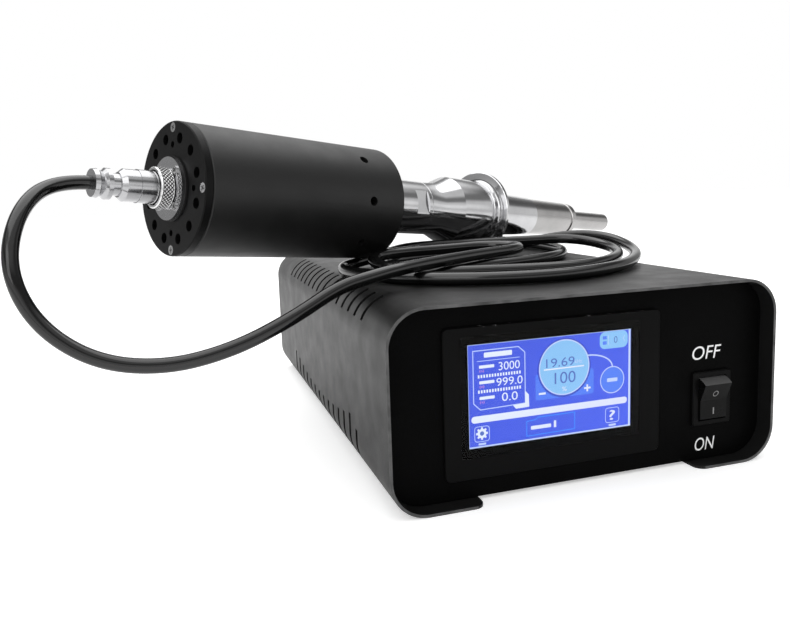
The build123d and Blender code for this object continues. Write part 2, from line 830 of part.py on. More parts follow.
def connector(socket, prefix, wall):
    """Make a round screw connector on a panel: socket, screws, ring, plug and cable clamp."""
    gasket = turned(
        socket,
        (0, stem_radius),
        (gasket_sheet, stem_radius),
        (gasket_sheet, gasket_radius),
        (0, gasket_radius),
    )
    save(gasket, f"{prefix}_gasket")
    face = gasket_sheet + flange_sheet
    with BuildPart() as shell:
        with BuildSketch(socket):
            with BuildLine():
                Polyline(
                    (-stem_length - wall, 0),
                    (face + shell_length, 0),
                    (face + shell_length, shell_radius),
                    (face, shell_radius),
                    (face, flange_radius),
                    (gasket_sheet, flange_radius),
                    (gasket_sheet, stem_radius),
                    (-stem_length - wall, stem_radius),
                    close=True,
                )
            make_face()
        revolve(axis=Axis(socket.origin, socket.x_dir))
        with BuildSketch(across(socket, gasket_sheet)):
            with PolarLocations(flange_screw_ring, 4, start_angle=45):
                Circle(flange_screw_radius)
        extrude(amount=flange_sheet, mode=Mode.SUBTRACT)
    save(shell, f"{prefix}_socket")
    with BuildPart() as screws:
        with BuildSketch(across(socket, gasket_sheet)):
            with PolarLocations(flange_screw_ring, 4, start_angle=45):
                Circle(flange_screw_radius)
        extrude(amount=flange_sheet)
        with BuildSketch(across(socket, face)):
            with PolarLocations(flange_screw_ring, 4, start_angle=45):
                Circle(flange_screw_head)
        extrude(amount=flange_screw_rise)
    save(screws, f"{prefix}_socket_screws")
    ring_start = face + ring_gap
    ring = turned(
        socket,
        (ring_start, shell_radius + ring_gap),
        (ring_start + ring_length, shell_radius + ring_gap),
        (ring_start + ring_length, ring_radius - 0.6),
        (ring_start + ring_length - 0.6, ring_radius),
        (ring_start + 0.6, ring_radius),
        (ring_start, ring_radius - 0.6),
    )
    save(ring, f"{prefix}_coupling_ring")
    plug_start = face + shell_length + ring_gap
    plug = turned(
        socket,
        (plug_start, 0),
        (plug_start, plug_radius),
        (plug_step_at, plug_radius),
        (plug_step_at, plug_radius - plug_step),
        (plug_end - plug_chamfer, plug_radius - plug_step),
        (plug_end, plug_radius - plug_chamfer),
        (plug_end, 0),
    )
    save(plug, f"{prefix}_plug_body")
    clamp_end = plug_end + neck_length + clamp_length
    clamp_start = plug_end + neck_length
    clamp = turned(
        socket,
        (plug_end, 0),
        (plug_end, neck_radius),
        (clamp_start, neck_radius),
        (clamp_start + clamp_rim * 0.4, clamp_radius),
        (clamp_start + clamp_rim * 1.4, clamp_radius),
        (clamp_start + clamp_length / 2, clamp_waist_radius),
        (clamp_end - clamp_rim, clamp_radius - 0.6),
        (clamp_end, clamp_radius - 1.0),
        (clamp_end, 0),
    )
    save(clamp, f"{prefix}_cable_clamp")


connector(front_port, "front", cap_thickness)
connector(rear_port, "rear", panel_sheet)

# End cap with its ring of air holes, screwed to the end of the housing tube
with BuildPart() as end_cap:
    with BuildSketch(probe):
        with BuildLine():
            Polyline(
                (0, 0),
                (0, housing_radius - cap_groove),
                (cap_groove, housing_radius),
                (cap_thickness - cap_groove, housing_radius),
                (cap_thickness, housing_radius - cap_groove),
                (cap_thickness, 0),
                close=True,
            )
        make_face()
    revolve(axis=Axis(probe.origin, probe.x_dir))
    with BuildSketch(across(probe, 0)):
        Circle(stem_radius + stem_clearance)
        for cardinal in range(4):
            for pair in (-vent_pair_angle, vent_pair_angle):
                with PolarLocations(vent_ring, 1, start_angle=90 * cardinal + pair):
                    Circle(vent_radius)
        with PolarLocations(vent_ring, 4, start_angle=45):
            Circle(vent_radius)
        with PolarLocations(small_ring, 4):
            Circle(small_hole_radius)
        with PolarLocations(cap_screw_ring, 4):
            Circle(cap_screw_shank + thread_clearance)
    extrude(amount=cap_thickness, mode=Mode.SUBTRACT)
    with BuildSketch(across(probe, 0)):
        with PolarLocations(cap_screw_ring, 4):
            Circle(cap_screw_head + thread_clearance)
    extrude(amount=cap_screw_head - cap_screw_shank, taper=45, mode=Mode.SUBTRACT)
save(end_cap, "end_cap")

# Cap screws, countersunk flush with the cap and screwed into the wall of the housing tube
with BuildPart() as cap_screws:
    with BuildSketch(across(probe, 0)):
        with PolarLocations(cap_screw_ring, 4):
            Circle(cap_screw_head)
    extrude(amount=cap_screw_head - cap_screw_shank, taper=45)
    with BuildSketch(across(probe, 0)):
        with PolarLocations(cap_screw_ring, 4):
            Circle(cap_screw_shank)
    extrude(amount=cap_screw_length)
save(cap_screws, "cap_screws")

# Housing tube with air holes round its front end and a stepped rim for the cap
tube_start = cap_thickness + thread_clearance
with BuildPart() as converter_housing:
    with BuildSketch(probe):
        with BuildLine():
            Polyline(
                (tube_start, housing_radius - housing_wall),
                (tube_start, housing_radius - cap_groove),
                (tube_start + cap_groove, housing_radius),
                (housing_end - cap_groove, housing_radius),
                (housing_end, housing_radius - cap_groove),
                (housing_end, housing_radius - housing_wall),
                close=True,
            )
        make_face()
    revolve(axis=Axis(probe.origin, probe.x_dir))
    for number in range(side_hole_count):
        around = math.radians(360 / side_hole_count * number)
        outwards = probe_side * math.cos(around) + probe.y_dir * math.sin(around)
        hole_plane = Plane(
            origin=probe.origin + probe_axis * (housing_end - side_hole_from_end),
            x_dir=probe_axis,
            z_dir=outwards,
        )
        with BuildSketch(hole_plane):
            Circle(side_hole_radius)
        extrude(amount=housing_radius + 1, mode=Mode.SUBTRACT)
    with BuildSketch(across(probe, tube_start)):
        with PolarLocations(cap_screw_ring, 4):
            Circle(cap_screw_shank + thread_clearance)
    extrude(amount=cap_screw_length, mode=Mode.SUBTRACT)
save(converter_housing, "converter_housing")

# Vibrating stack inside the housing: bolt, back mass, four ceramic rings and electrodes
back_mass_start = bolt_head_start + bolt_head_length
ceramic_start = back_mass_start + back_mass_length
stack_pitch = ceramic_thickness + electrode_sheet
front_mass_start = ceramic_start + ceramic_count * stack_pitch
back_mass = turned(
    probe,
    (back_mass_start, bolt_radius + bolt_clearance),
    (back_mass_start, stack_radius - 3),
    (back_mass_start + 3, stack_radius),
    (ceramic_start, stack_radius),
    (ceramic_start, bolt_radius + bolt_clearance),
)
save(back_mass, "back_mass")

with BuildPart() as ceramic_rings:
    for number in range(ceramic_count):
        with BuildSketch(across(probe, ceramic_start + number * stack_pitch)):
            Circle(ceramic_radius)
            Circle(ceramic_bore, mode=Mode.SUBTRACT)
        extrude(amount=ceramic_thickness)
save(ceramic_rings, "ceramic_rings")

with BuildPart() as electrodes:
    for number in range(ceramic_count):
        with BuildSketch(across(probe, ceramic_start + number * stack_pitch + ceramic_thickness)):
            Circle(ceramic_radius)
            with Locations((0, ceramic_radius + tab_length / 2 - 1)):
                Rectangle(tab_width, tab_length + 2)
            Circle(ceramic_bore, mode=Mode.SUBTRACT)
        extrude(amount=electrode_sheet)
save(electrodes, "electrodes")

bolt_end = front_mass_start + front_shoulder_length + collar_length
preload_bolt = turned(
    probe,
    (bolt_head_start, 0),
    (bolt_head_start, bolt_head_radius),
    (back_mass_start, bolt_head_radius),
    (back_mass_start, bolt_radius),
    (bolt_end, bolt_radius),
    (bolt_end, 0),
)
save(preload_bolt, "preload_bolt")

# Front mass, held in the housing by its collar, with two wrench flats outside
collar_start = front_mass_start + front_shoulder_length
collar_end = collar_start + collar_length
with BuildPart() as front_mass:
    with BuildSketch(probe):
        with BuildLine():
            Polyline(
                (front_mass_start, bolt_radius + stud_clearance),
                (front_mass_start, stack_radius),
                (collar_start, stack_radius),
                (collar_start, housing_radius - housing_wall - collar_gap),
                (collar_end, housing_radius - housing_wall - collar_gap),
                (collar_end, front_mass_radius),
                (joint_1, front_mass_radius),
                (joint_1, stud_radius + stud_clearance),
                (joint_1 - stud_reach, stud_radius + stud_clearance),
                (joint_1 - stud_reach, 0),
                (bolt_end, 0),
                (bolt_end, bolt_radius + stud_clearance),
                close=True,
            )
        make_face()
    revolve(axis=Axis(probe.origin, probe.x_dir))
    with BuildSketch(across(probe, flat_start)):
        with PolarLocations(front_mass_radius, 2):
            Rectangle(2 * flat_depth, 2 * front_mass_radius)
    extrude(amount=flat_length, mode=Mode.SUBTRACT)
save(front_mass, "front_mass")

# Booster: a bulge, a waist, a bead and the clamping flange at its node
flange_end = flange_start + flange_thickness
with BuildPart() as booster:
    with BuildSketch(probe):
        with BuildLine():
            Polyline(
                (joint_1 + stud_reach, 0),
                (joint_1 + stud_reach, stud_radius + stud_clearance),
                (joint_1, stud_radius + stud_clearance),
                (joint_1, booster_radius),
                (bulge_start, booster_radius),
                (bulge_start + bulge_slope, bulge_radius),
                (bulge_end, bulge_radius),
                (bulge_end, booster_waist_radius),
                (bead_start, booster_waist_radius),
                (bead_start + 2, bead_radius),
                (flange_start - 4, bead_radius),
                (flange_start - 3, bead_radius - 1.5),
                (flange_start, bead_radius),
                (flange_start, booster_flange_radius),
                (flange_end, booster_flange_radius),
                (flange_end, bead_radius),
                (joint_2, horn_radius),
                (joint_2, stud_radius + stud_clearance),
                (joint_2 - stud_reach, stud_radius + stud_clearance),
                (joint_2 - stud_reach, 0),
                close=True,
            )
        make_face()
    revolve(axis=Axis(probe.origin, probe.x_dir))
save(booster, "booster")

horn = turned(
    probe,
    (joint_2 + stud_reach, 0),
    (joint_2 + stud_reach, stud_radius + stud_clearance),
    (joint_2, stud_radius + stud_clearance),
    (joint_2, horn_radius),
    (joint_3, horn_radius),
    (joint_3, stud_radius + stud_clearance),
    (joint_3 - stud_reach, stud_radius + stud_clearance),
    (joint_3 - stud_reach, 0),
)
save(horn, "horn")

horn_tip = turned(
    probe,
    (joint_3 + stud_reach, 0),
    (joint_3 + stud_reach, stud_radius + stud_clearance),
    (joint_3, stud_radius + stud_clearance),
    (joint_3, tip_base_radius),
    (groove_start, tip_base_radius),
    (groove_start, tip_base_radius - groove_depth),
    (groove_start + groove_width, tip_base_radius - groove_depth),
    (groove_start + groove_width, tip_base_radius),
    (lip_end, tip_base_radius),
    (tip_start, tip_radius),
    (tip_end - tip_chamfer, tip_radius),
    (tip_end, tip_radius - tip_chamfer),
    (tip_end, 0),
)
save(horn_tip, "horn_tip")

with BuildPart() as joint_studs:
    for joint in (joint_1, joint_2, joint_3):
        with BuildSketch(across(probe, joint - stud_reach)):
            Circle(stud_radius)
        extrude(amount=2 * stud_reach)
save(joint_studs, "joint_studs")

# Cable coiled on the lid: one band, with a second layer where the probe leaves room
with BuildPart() as cable_coil:
    with BuildSketch(Plane.XY.offset(case_height)):
        with Locations((coil_centre_x, coil_centre_y)):
            Ellipse(coil_half_length, coil_half_width)
            Ellipse(coil_half_length - coil_band, coil_half_width - coil_band, mode=Mode.SUBTRACT)
    extrude(amount=coil_layer)
    with BuildSketch(Plane.XY.offset(case_height + coil_layer)):
        with Locations((coil_centre_x, coil_centre_y)):
            Ellipse(coil_half_length - coil_top_inset, coil_half_width - coil_top_inset)
            Ellipse(
                coil_half_length - coil_band + coil_top_inset,
                coil_half_width - coil_band + coil_top_inset,
                mode=Mode.SUBTRACT,
            )
        with Locations((housing_room_x, housing_room_y)):
            Rectangle(
                2 * coil_half_length,
                2 * coil_half_width,
                align=(Align.MAX, Align.MIN),
                mode=Mode.SUBTRACT,
            )
    extrude(amount=coil_top_layer)
save(cable_coil, "cable_coil")


def cable(route, name):
    """Tube along straight runs joined by arcs as large as the runs allow, cut off at the coil."""
    points = [Vector(*point) for point in route]
    runs = [(after - before).length for before, after in zip(points, points[1:])]
    radii = []
    for before, point, after, run_in, run_out in zip(
        points, points[1:], points[2:], runs, runs[1:]
    ):
        bend = math.radians((point - before).get_angle(after - point))
        radii.append(0.45 * min(run_in, run_out) / math.tan(bend / 2))
    print(name, "radii", [round(radius) for radius in radii], "runs", [round(run) for run in runs])
    with BuildPart() as tube:
        with BuildLine():
            path = FilletPolyline(*points, radius=radii)
        with BuildSketch(Plane(origin=path @ 0, z_dir=path % 0)):
            Circle(cable_radius)
        sweep(path=path)
    length = path.length
    print(name, "length", round(length), "volume share", tube.part.volume / length / math.pi / cable_radius**2)
    with BuildPart() as kept:
        add(tube.part)
        add(cable_coil.part, mode=Mode.SUBTRACT)
    save(kept, name)


clamp_face = plug_end + neck_length + clamp_length
loop_start = front_port.origin + front_port.x_dir * clamp_face
loop_second = loop_start + front_port.x_dir * 28
cable(
    [
        tuple(loop_start),
        tuple(loop_second),
        (-281, -118, 158),
        (-282, -131, 130),
        (-270, -135, 103),
        (-245, -138, 84),
        (-213, -141, 79.5),
        (-180, -141, 86),
        (-150, -135, 98),
        (-124, -123, 110),
        (-100, -102, 113.5),
        (-80, -86, 113),
        (-66, -80, 112.5),
    ],
    "cable_loop",
)
tail_start = rear_port.origin + rear_port.x_dir * clamp_face
cable(
    [
        tuple(tail_start),
        (outlet_x, tail_start.Y + 32, outlet_z),
        (outlet_x + 1, tail_start.Y + 56, 57),
        (outlet_x + 2, tail_start.Y + 56, 90),
        (outlet_x + 2, tail_start.Y + 32, 114),
        (outlet_x + 1, 202, 117),
        (outlet_x + 3, 168, 114),
        (outlet_x + 5, 140, 109),
        (outlet_x + 3, 110, 108.4),
        (outlet_x + 6, 78, 108.3),
        (outlet_x + 7, 46, 108.3),
        (outlet_x + 3, 17, 108.3),
        (outlet_x - 6, -8, 108.3),
    ],
    "cable_tail",
)
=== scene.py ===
import math

import bmesh
import bpy
from mathutils import Matrix, Vector


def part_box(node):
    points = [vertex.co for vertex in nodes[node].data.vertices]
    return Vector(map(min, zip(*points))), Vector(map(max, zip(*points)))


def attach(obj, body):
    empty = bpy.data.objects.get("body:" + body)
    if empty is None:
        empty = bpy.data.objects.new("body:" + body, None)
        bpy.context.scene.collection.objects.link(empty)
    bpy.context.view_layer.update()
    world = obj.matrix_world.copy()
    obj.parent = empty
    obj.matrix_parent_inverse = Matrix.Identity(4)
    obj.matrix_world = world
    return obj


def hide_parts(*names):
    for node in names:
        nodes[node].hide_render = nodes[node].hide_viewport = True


# Probe sonicator: looks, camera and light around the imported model. Metres, Z up, the front faces -Y.
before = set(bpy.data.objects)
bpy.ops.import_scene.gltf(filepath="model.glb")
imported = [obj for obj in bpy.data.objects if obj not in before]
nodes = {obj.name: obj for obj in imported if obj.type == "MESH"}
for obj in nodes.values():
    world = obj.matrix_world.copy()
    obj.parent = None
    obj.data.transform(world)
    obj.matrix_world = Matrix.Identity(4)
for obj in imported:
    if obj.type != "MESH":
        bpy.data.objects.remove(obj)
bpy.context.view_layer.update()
MM = 0.001
FORWARD = (0.0, -1.0, 0.0)
UPWARD = (0.0, 0.0, 1.0)


def add_object(name, data):
    obj = bpy.data.objects.new(name, data)
    bpy.context.scene.collection.objects.link(obj)
    return obj


# Camera, solved from the photograph
PHOTO_WIDTH, PHOTO_HEIGHT = 790, 629
FOCAL_PX = 732.19
CENTRE_PX = (401.298, 281.430)
SENSOR_WIDTH = 36.0
CAMERA_PLACE = Vector((-0.20607, -0.49393, 0.16108))
CAMERA_RIGHT = Vector((0.95218, -0.30377, -0.03271))
CAMERA_UP = Vector((0.07002, 0.11277, 0.99115))
CAMERA_BACK = Vector((-0.29739, -0.94605, 0.12865))

camera_data = bpy.data.cameras.new("camera")
camera_data.sensor_width = SENSOR_WIDTH
camera_data.lens = FOCAL_PX / PHOTO_WIDTH * SENSOR_WIDTH
camera_data.shift_x = (PHOTO_WIDTH / 2 - CENTRE_PX[0]) / PHOTO_WIDTH
camera_data.shift_y = (CENTRE_PX[1] - PHOTO_HEIGHT / 2) / PHOTO_WIDTH
camera_data.clip_start = 0.01
camera_data.clip_end = 50.0
camera = add_object("camera", camera_data)
camera_turn = Matrix((CAMERA_RIGHT, CAMERA_UP, CAMERA_BACK)).transposed().to_4x4()
camera.matrix_world = Matrix.Translation(CAMERA_PLACE) @ camera_turn
bpy.context.scene.camera = camera

# The probe starts at the outer face of its end cap and points to the rear right and slightly down
PROBE = Vector((-0.2029, -0.05935, 0.1639))
PROBE_TURN = math.radians(26.5)
PROBE_DROP = math.radians(5.6)
ALONG = Vector(
    (
        math.cos(PROBE_DROP) * math.cos(PROBE_TURN),
        math.cos(PROBE_DROP) * math.sin(PROBE_TURN),
        -math.sin(PROBE_DROP),
    )
)
ACROSS = Vector((-math.sin(PROBE_TURN), math.cos(PROBE_TURN), 0.0))
ABOVE = ALONG.cross(ACROSS)


# Node trees


def to_linear(value):
    """One 0-255 screen value as linear light."""
    v = value / 255
    return v / 12.92 if v <= 0.04045 else ((v + 0.055) / 1.055) ** 2.4


def rgb(red, green, blue):
    return (to_linear(red), to_linear(green), to_linear(blue), 1.0)


def grey(value):
    return (value, value, value, 1.0)


class Tree:
    """Short ways to add nodes to a node tree."""

    def __init__(self, tree):
        self.tree = tree

    def add(self, kind, operation=None):
        node = self.tree.nodes.new(kind)
        if operation:
            node.operation = operation
        return node

    def link(self, source, socket):
        self.tree.links.new(source, socket)

    def put(self, value, socket):
        """Set a number, vector or colour on a socket, or link another node's output to it."""
        if isinstance(value, (int, float, tuple)):
            socket.default_value = value
        else:
            self.link(value, socket)

    def math(self, operation, first, second=0.0):
        node = self.add("ShaderNodeMath", operation)
        self.put(first, node.inputs[0])
        self.put(second, node.inputs[1])
        return node.outputs[0]

    def plus(self, first, second):
        return self.math("ADD", first, second)

    def minus(self, first, second):
        return self.math("SUBTRACT", first, second)

    def times(self, first, second):
        return self.math("MULTIPLY", first, second)

    def larger(self, first, second):
        return self.math("MAXIMUM", first, second)

    def ramp(self, value, low, high, from_value=0.0, to_value=1.0, smooth=False):
        """From one value to another while the input goes from low to high."""
        node = self.add("ShaderNodeMapRange")
        if smooth:
            node.interpolation_type = "SMOOTHSTEP"
        self.link(value, node.inputs["Value"])
        node.inputs["From Min"].default_value = low
        node.inputs["From Max"].default_value = high
        node.inputs["To Min"].default_value = from_value
        node.inputs["To Max"].default_value = to_value
        return node.outputs["Result"]


class Look(Tree):
    """A material with its shader and the object's own coordinates."""

    def __init__(self, name):
        self.material = bpy.data.materials.new(name)
        self.material.use_nodes = True
        super().__init__(self.material.node_tree)
        self.shader = self.tree.nodes["Principled BSDF"]
        self.place = self.add("ShaderNodeTexCoord").outputs["Object"]

    def set(self, name, value):
        self.put(value, self.shader.inputs[name])

    def dot(self, vector, direction):
        node = self.add("ShaderNodeVectorMath", "DOT_PRODUCT")
        self.link(vector, node.inputs[0])
        node.inputs[1].default_value = direction
        return node.outputs["Value"]

    def shifted(self, origin):
        node = self.add("ShaderNodeVectorMath", "SUBTRACT")
        self.link(self.place, node.inputs[0])
        node.inputs[1].default_value = origin
        return node.outputs["Vector"]

    def millimetres(self, vector, direction):
        """How far a place lies in a direction."""
        return self.times(self.dot(vector, direction), 1 / MM)

    def noise(self, scale, detail=3.0, rough=0.55, vector=None):
        node = self.add("ShaderNodeTexNoise")
        node.inputs["Scale"].default_value = scale
        node.inputs["Detail"].default_value = detail
        node.inputs["Roughness"].default_value = rough
        self.link(vector or self.place, node.inputs["Vector"])
        return node.outputs["Fac"]

    def blend(self, factor, first, second):
        node = self.add("ShaderNodeMix")
        node.data_type = "RGBA"
        self.link(factor, node.inputs["Factor"])
        self.put(first, node.inputs["A"])
        self.put(second, node.inputs["B"])
        return node.outputs["Result"]

    def bump(self, height, strength, distance):
        node = self.add("ShaderNodeBump")
        node.inputs["Strength"].default_value = strength
        node.inputs["Distance"].default_value = distance
        self.link(height, node.inputs["Height"])
        return node.outputs["Normal"]


# Kinds of surface

METAL_GRAIN = 900
TURNING_MARKS = 2600.0
KNURL_TEETH = 34
KNURL_PITCH = 2.1
KNURL_START, KNURL_END = 4.2, 10.4
KNURL_RUN_OUT = 0.25


def painted(name, colour, lighter, rough, spread, grain, grain_depth, level=0.5):
    """Powder coat, anodising or moulded plastic: a fine grain, faint clouds of tone and uneven gloss."""
    look = Look(name)
    clouds = look.ramp(look.noise(22, 4), 0.3, 0.7)
    specks = look.ramp(look.noise(grain, 2), 0.35, 0.65)
    look.set("Base Color", look.blend(look.times(clouds, specks), colour, lighter))
    look.set("Roughness", look.ramp(look.noise(60, 5), 0.3, 0.7, rough - spread, rough + spread))
    look.set("Specular IOR Level", level)
    look.set("Normal", look.bump(look.noise(grain, 2), 0.5, grain_depth))
    return look


def metal(name, colour, shade, rough, spread, axis=None, mark_depth=0.000004):
    """Bright metal with faint clouds and, where an axis is given, turning marks round it."""
    look = Look(name)
    look.set("Base Color", look.blend(look.ramp(look.noise(35, 4), 0.35, 0.7), colour, shade))
    look.set("Metallic", 1.0)
    if axis is None:
        height = look.noise(METAL_GRAIN, 3)
        uneven = look.noise(160, 4)
    else:
        line = look.add("ShaderNodeCombineXYZ")
        look.link(look.times(look.dot(look.place, tuple(axis)), TURNING_MARKS), line.inputs[0])
        height = look.noise(1.0, 4, 0.7, line.outputs[0])
        uneven = look.plus(look.times(height, 0.6), look.times(look.noise(90, 3), 0.4))
    look.set("Roughness", look.ramp(uneven, 0.3, 0.7, rough - spread, rough + spread))
    look.set("Normal", look.bump(height, 0.6, mark_depth))
    return look


def knurled(name, origin, axis, side, top):
    """Nickel with a diamond knurl round an axis, on the coupling rings' grip."""
    look = metal(name, grey(0.66), grey(0.5), 0.2, 0.05)
    local = look.shifted(tuple(origin))
    run = look.millimetres(local, tuple(axis))
    angle = look.math("ARCTAN2", look.dot(local, tuple(side)), look.dot(local, tuple(top)))
    turns = look.times(angle, KNURL_TEETH / 2)
    slope = look.times(run, math.pi / KNURL_PITCH)
    first = look.math("ABSOLUTE", look.math("SINE", look.plus(turns, slope)))
    second = look.math("ABSOLUTE", look.math("SINE", look.minus(turns, slope)))
    grip = look.times(
        look.ramp(run, KNURL_START, KNURL_START + KNURL_RUN_OUT),
        look.ramp(run, KNURL_END, KNURL_END - KNURL_RUN_OUT),
    )
    height = look.plus(look.times(look.times(first, second), grip), look.minus(1.0, grip))
    look.set("Normal", look.bump(height, 1.0, 0.0005))
    # Painted shade and highlight: the knurl's grooves are coloured near black and its crests pale.
    look.set("Base Color", look.blend(look.ramp(height, 0.15, 0.6), grey(0.03), grey(0.8)))
    return look.material


# Tone, lighter tone, roughness and its spread, scale and depth of the grain, specular level
PAINTS = {
    "panel_paint": (grey(0.0016), grey(0.003), 0.5, 0.06, 1900, 0.0001, 0.03),
    "switch_plastic": (grey(0.003), grey(0.006), 0.36, 0.05, 1300, 0.00004, 0.06),
    "fan_plastic": (grey(0.012), grey(0.02), 0.45, 0.06, 1200, 0.00006, 0.4),
    "inlet_plastic": (grey(0.011), grey(0.018), 0.42, 0.06, 1300, 0.00005, 0.4),
    "gasket_rubber": (grey(0.006), grey(0.012), 0.6, 0.05, 900, 0.00005, 0.3),
    "circuit_board": ((0.008, 0.07, 0.025, 1.0), (0.015, 0.12, 0.045, 1.0), 0.35, 0.06, 500, 0.00003),
    "ferrite": (grey(0.03), grey(0.06), 0.6, 0.08, 700, 0.0001),
    "capacitor_sleeve": ((0.01, 0.013, 0.05, 1.0), (0.02, 0.026, 0.08, 1.0), 0.3, 0.05, 300, 0.00003),
    "piezo_ceramic": ((0.6, 0.56, 0.45, 1.0), (0.68, 0.64, 0.53, 1.0), 0.5, 0.06, 1200, 0.00003),
    "anodised_black": (grey(0.003), grey(0.006), 0.46, 0.04, 2300, 0.00006, 0.5),
    "display_screen": (grey(0.0008), grey(0.0014), 0.5, 0.04, 900, 0.00002, 0.02),
    "cable_jacket": (grey(0.003), grey(0.006), 0.15, 0.04, 700, 0.00002, 0.65),
}
# Tone, darker tone, roughness and its spread, then the axis of turned pieces and their marks' depth
METALS = {
    "zinc_steel": ((0.6, 0.61, 0.62, 1.0), (0.46, 0.47, 0.5, 1.0), 0.34, 0.08),
    "screw_steel": (grey(0.62), grey(0.48), 0.26, 0.06),
    "heatsink_aluminium": (grey(0.66), grey(0.52), 0.38, 0.08, (1.0, 0.0, 0.0)),
    "standoff_brass": ((0.75, 0.55, 0.22, 1.0), (0.62, 0.44, 0.16, 1.0), 0.25, 0.05),
    "electrode_copper": ((0.8, 0.42, 0.26, 1.0), (0.66, 0.32, 0.2, 1.0), 0.3, 0.06),
    "back_mass_steel": (grey(0.5), grey(0.42), 0.3, 0.06, ALONG),
    "connector_metal": ((0.56, 0.56, 0.57, 1.0), (0.46, 0.46, 0.47, 1.0), 0.17, 0.05, ALONG, 0.0000015),
    "bright_aluminium": ((0.68, 0.68, 0.69, 1.0), (0.56, 0.56, 0.57, 1.0), 0.13, 0.05, ALONG, 0.000003),
    "titanium": ((0.5, 0.49, 0.485, 1.0), (0.4, 0.395, 0.39, 1.0), 0.2, 0.06, ALONG, 0.000004),
}
looks = {name: painted(name, *values).material for name, values in PAINTS.items()}
looks.update({name: metal(name, *values).material for name, values in METALS.items()})


def cover_paint():
    """The cover's powder coat, paler on the sheet's front edge from wear and a painted highlight."""
    edge_end = -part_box("outer_cover")[0].y / MM - 0.15
    look = painted("cover_paint", grey(0.006), grey(0.01), 0.38, 0.05, 1900, 0.00009, 0.22)
    front_edge = look.ramp(look.millimetres(look.place, FORWARD), edge_end - 0.2, edge_end)
    wear_and_edge_highlight = look.times(front_edge, look.ramp(look.noise(70, 4), 0.3, 0.6, 0.25, 1.0))
    # Wear and a painted highlight: the sheet's front edge is coloured pale, as a lit edge would look.
    look.set("Base Color", look.blend(wear_and_edge_highlight, grey(0.009), grey(0.12)))
    return look.material


def bezel_plastic():
    """The display's bezel, scuffed along its top."""
    scuff_start, scuff_full = 90.2, 90.9
    look = painted("bezel_plastic", grey(0.0022), grey(0.004), 0.4, 0.06, 1500, 0.00005, 0.05)
    near_top = look.ramp(look.millimetres(look.place, UPWARD), scuff_start, scuff_full)
    scuff = look.times(near_top, look.ramp(look.noise(210, 6, 0.75), 0.6, 0.68))
    look.set("Base Color", look.blend(scuff, grey(0.004), grey(0.3)))
    return look.material


def display_glass():
    look = Look("display_glass")
    look.set("Base Color", (0.9, 0.93, 1.0, 1.0))
    look.set("Transmission Weight", 1.0)
    look.set("IOR", 1.2)
    look.set("Roughness", look.ramp(look.noise(40, 4), 0.3, 0.7, 0.01, 0.05))
    return look.material


def rocker_painted_highlight():
    """The rocker's plastic, with a painted highlight: paler where it faces up."""
    look = painted("rocker_painted_highlight", grey(0.003), grey(0.006), 0.3, 0.05, 1300, 0.00003, 0.1)
    normal = look.add("ShaderNodeNewGeometry").outputs["Normal"]
    painted_top_light = look.ramp(look.dot(normal, UPWARD), 0.35, 0.75)
    # Painted highlight: the faces turned up are coloured paler, as if lit from above.
    look.set("Base Color", look.blend(painted_top_light, grey(0.004), grey(0.085)))
    return look.material


looks["cover_paint"] = cover_paint()
looks["bezel_plastic"] = bezel_plastic()
looks["display_glass"] = display_glass()

for name, obj in nodes.items():
    for slot in obj.material_slots:
        plain = slot.material.name.split(".")[0] if slot.material else ""
        if plain in looks:
            slot.material = looks[plain]
        else:
            print("no look for", name, plain)

# Pieces with a look of their own
OUTLET = Vector((0.084, 0.1625, 0.034))
X_AXIS, Y_AXIS, Z_AXIS = Vector((1, 0, 0)), Vector((0, 1, 0)), Vector((0, 0, 1))
for name, material in (
    ("front_coupling_ring", knurled("front_knurl", PROBE, -ALONG, ACROSS, ABOVE)),
    ("rear_coupling_ring", knurled("rear_knurl", OUTLET, Y_AXIS, X_AXIS, Z_AXIS)),
    ("power_rocker", rocker_painted_highlight()),
    ("end_cap", painted("cap_black", grey(0.003), grey(0.006), 0.4, 0.05, 2300, 0.00006, 0.12).material),
):
    for slot in nodes[name].material_slots:
        slot.material = material


# The cable: from the probe's plug down to the lid, loose turns there, and over the rear edge

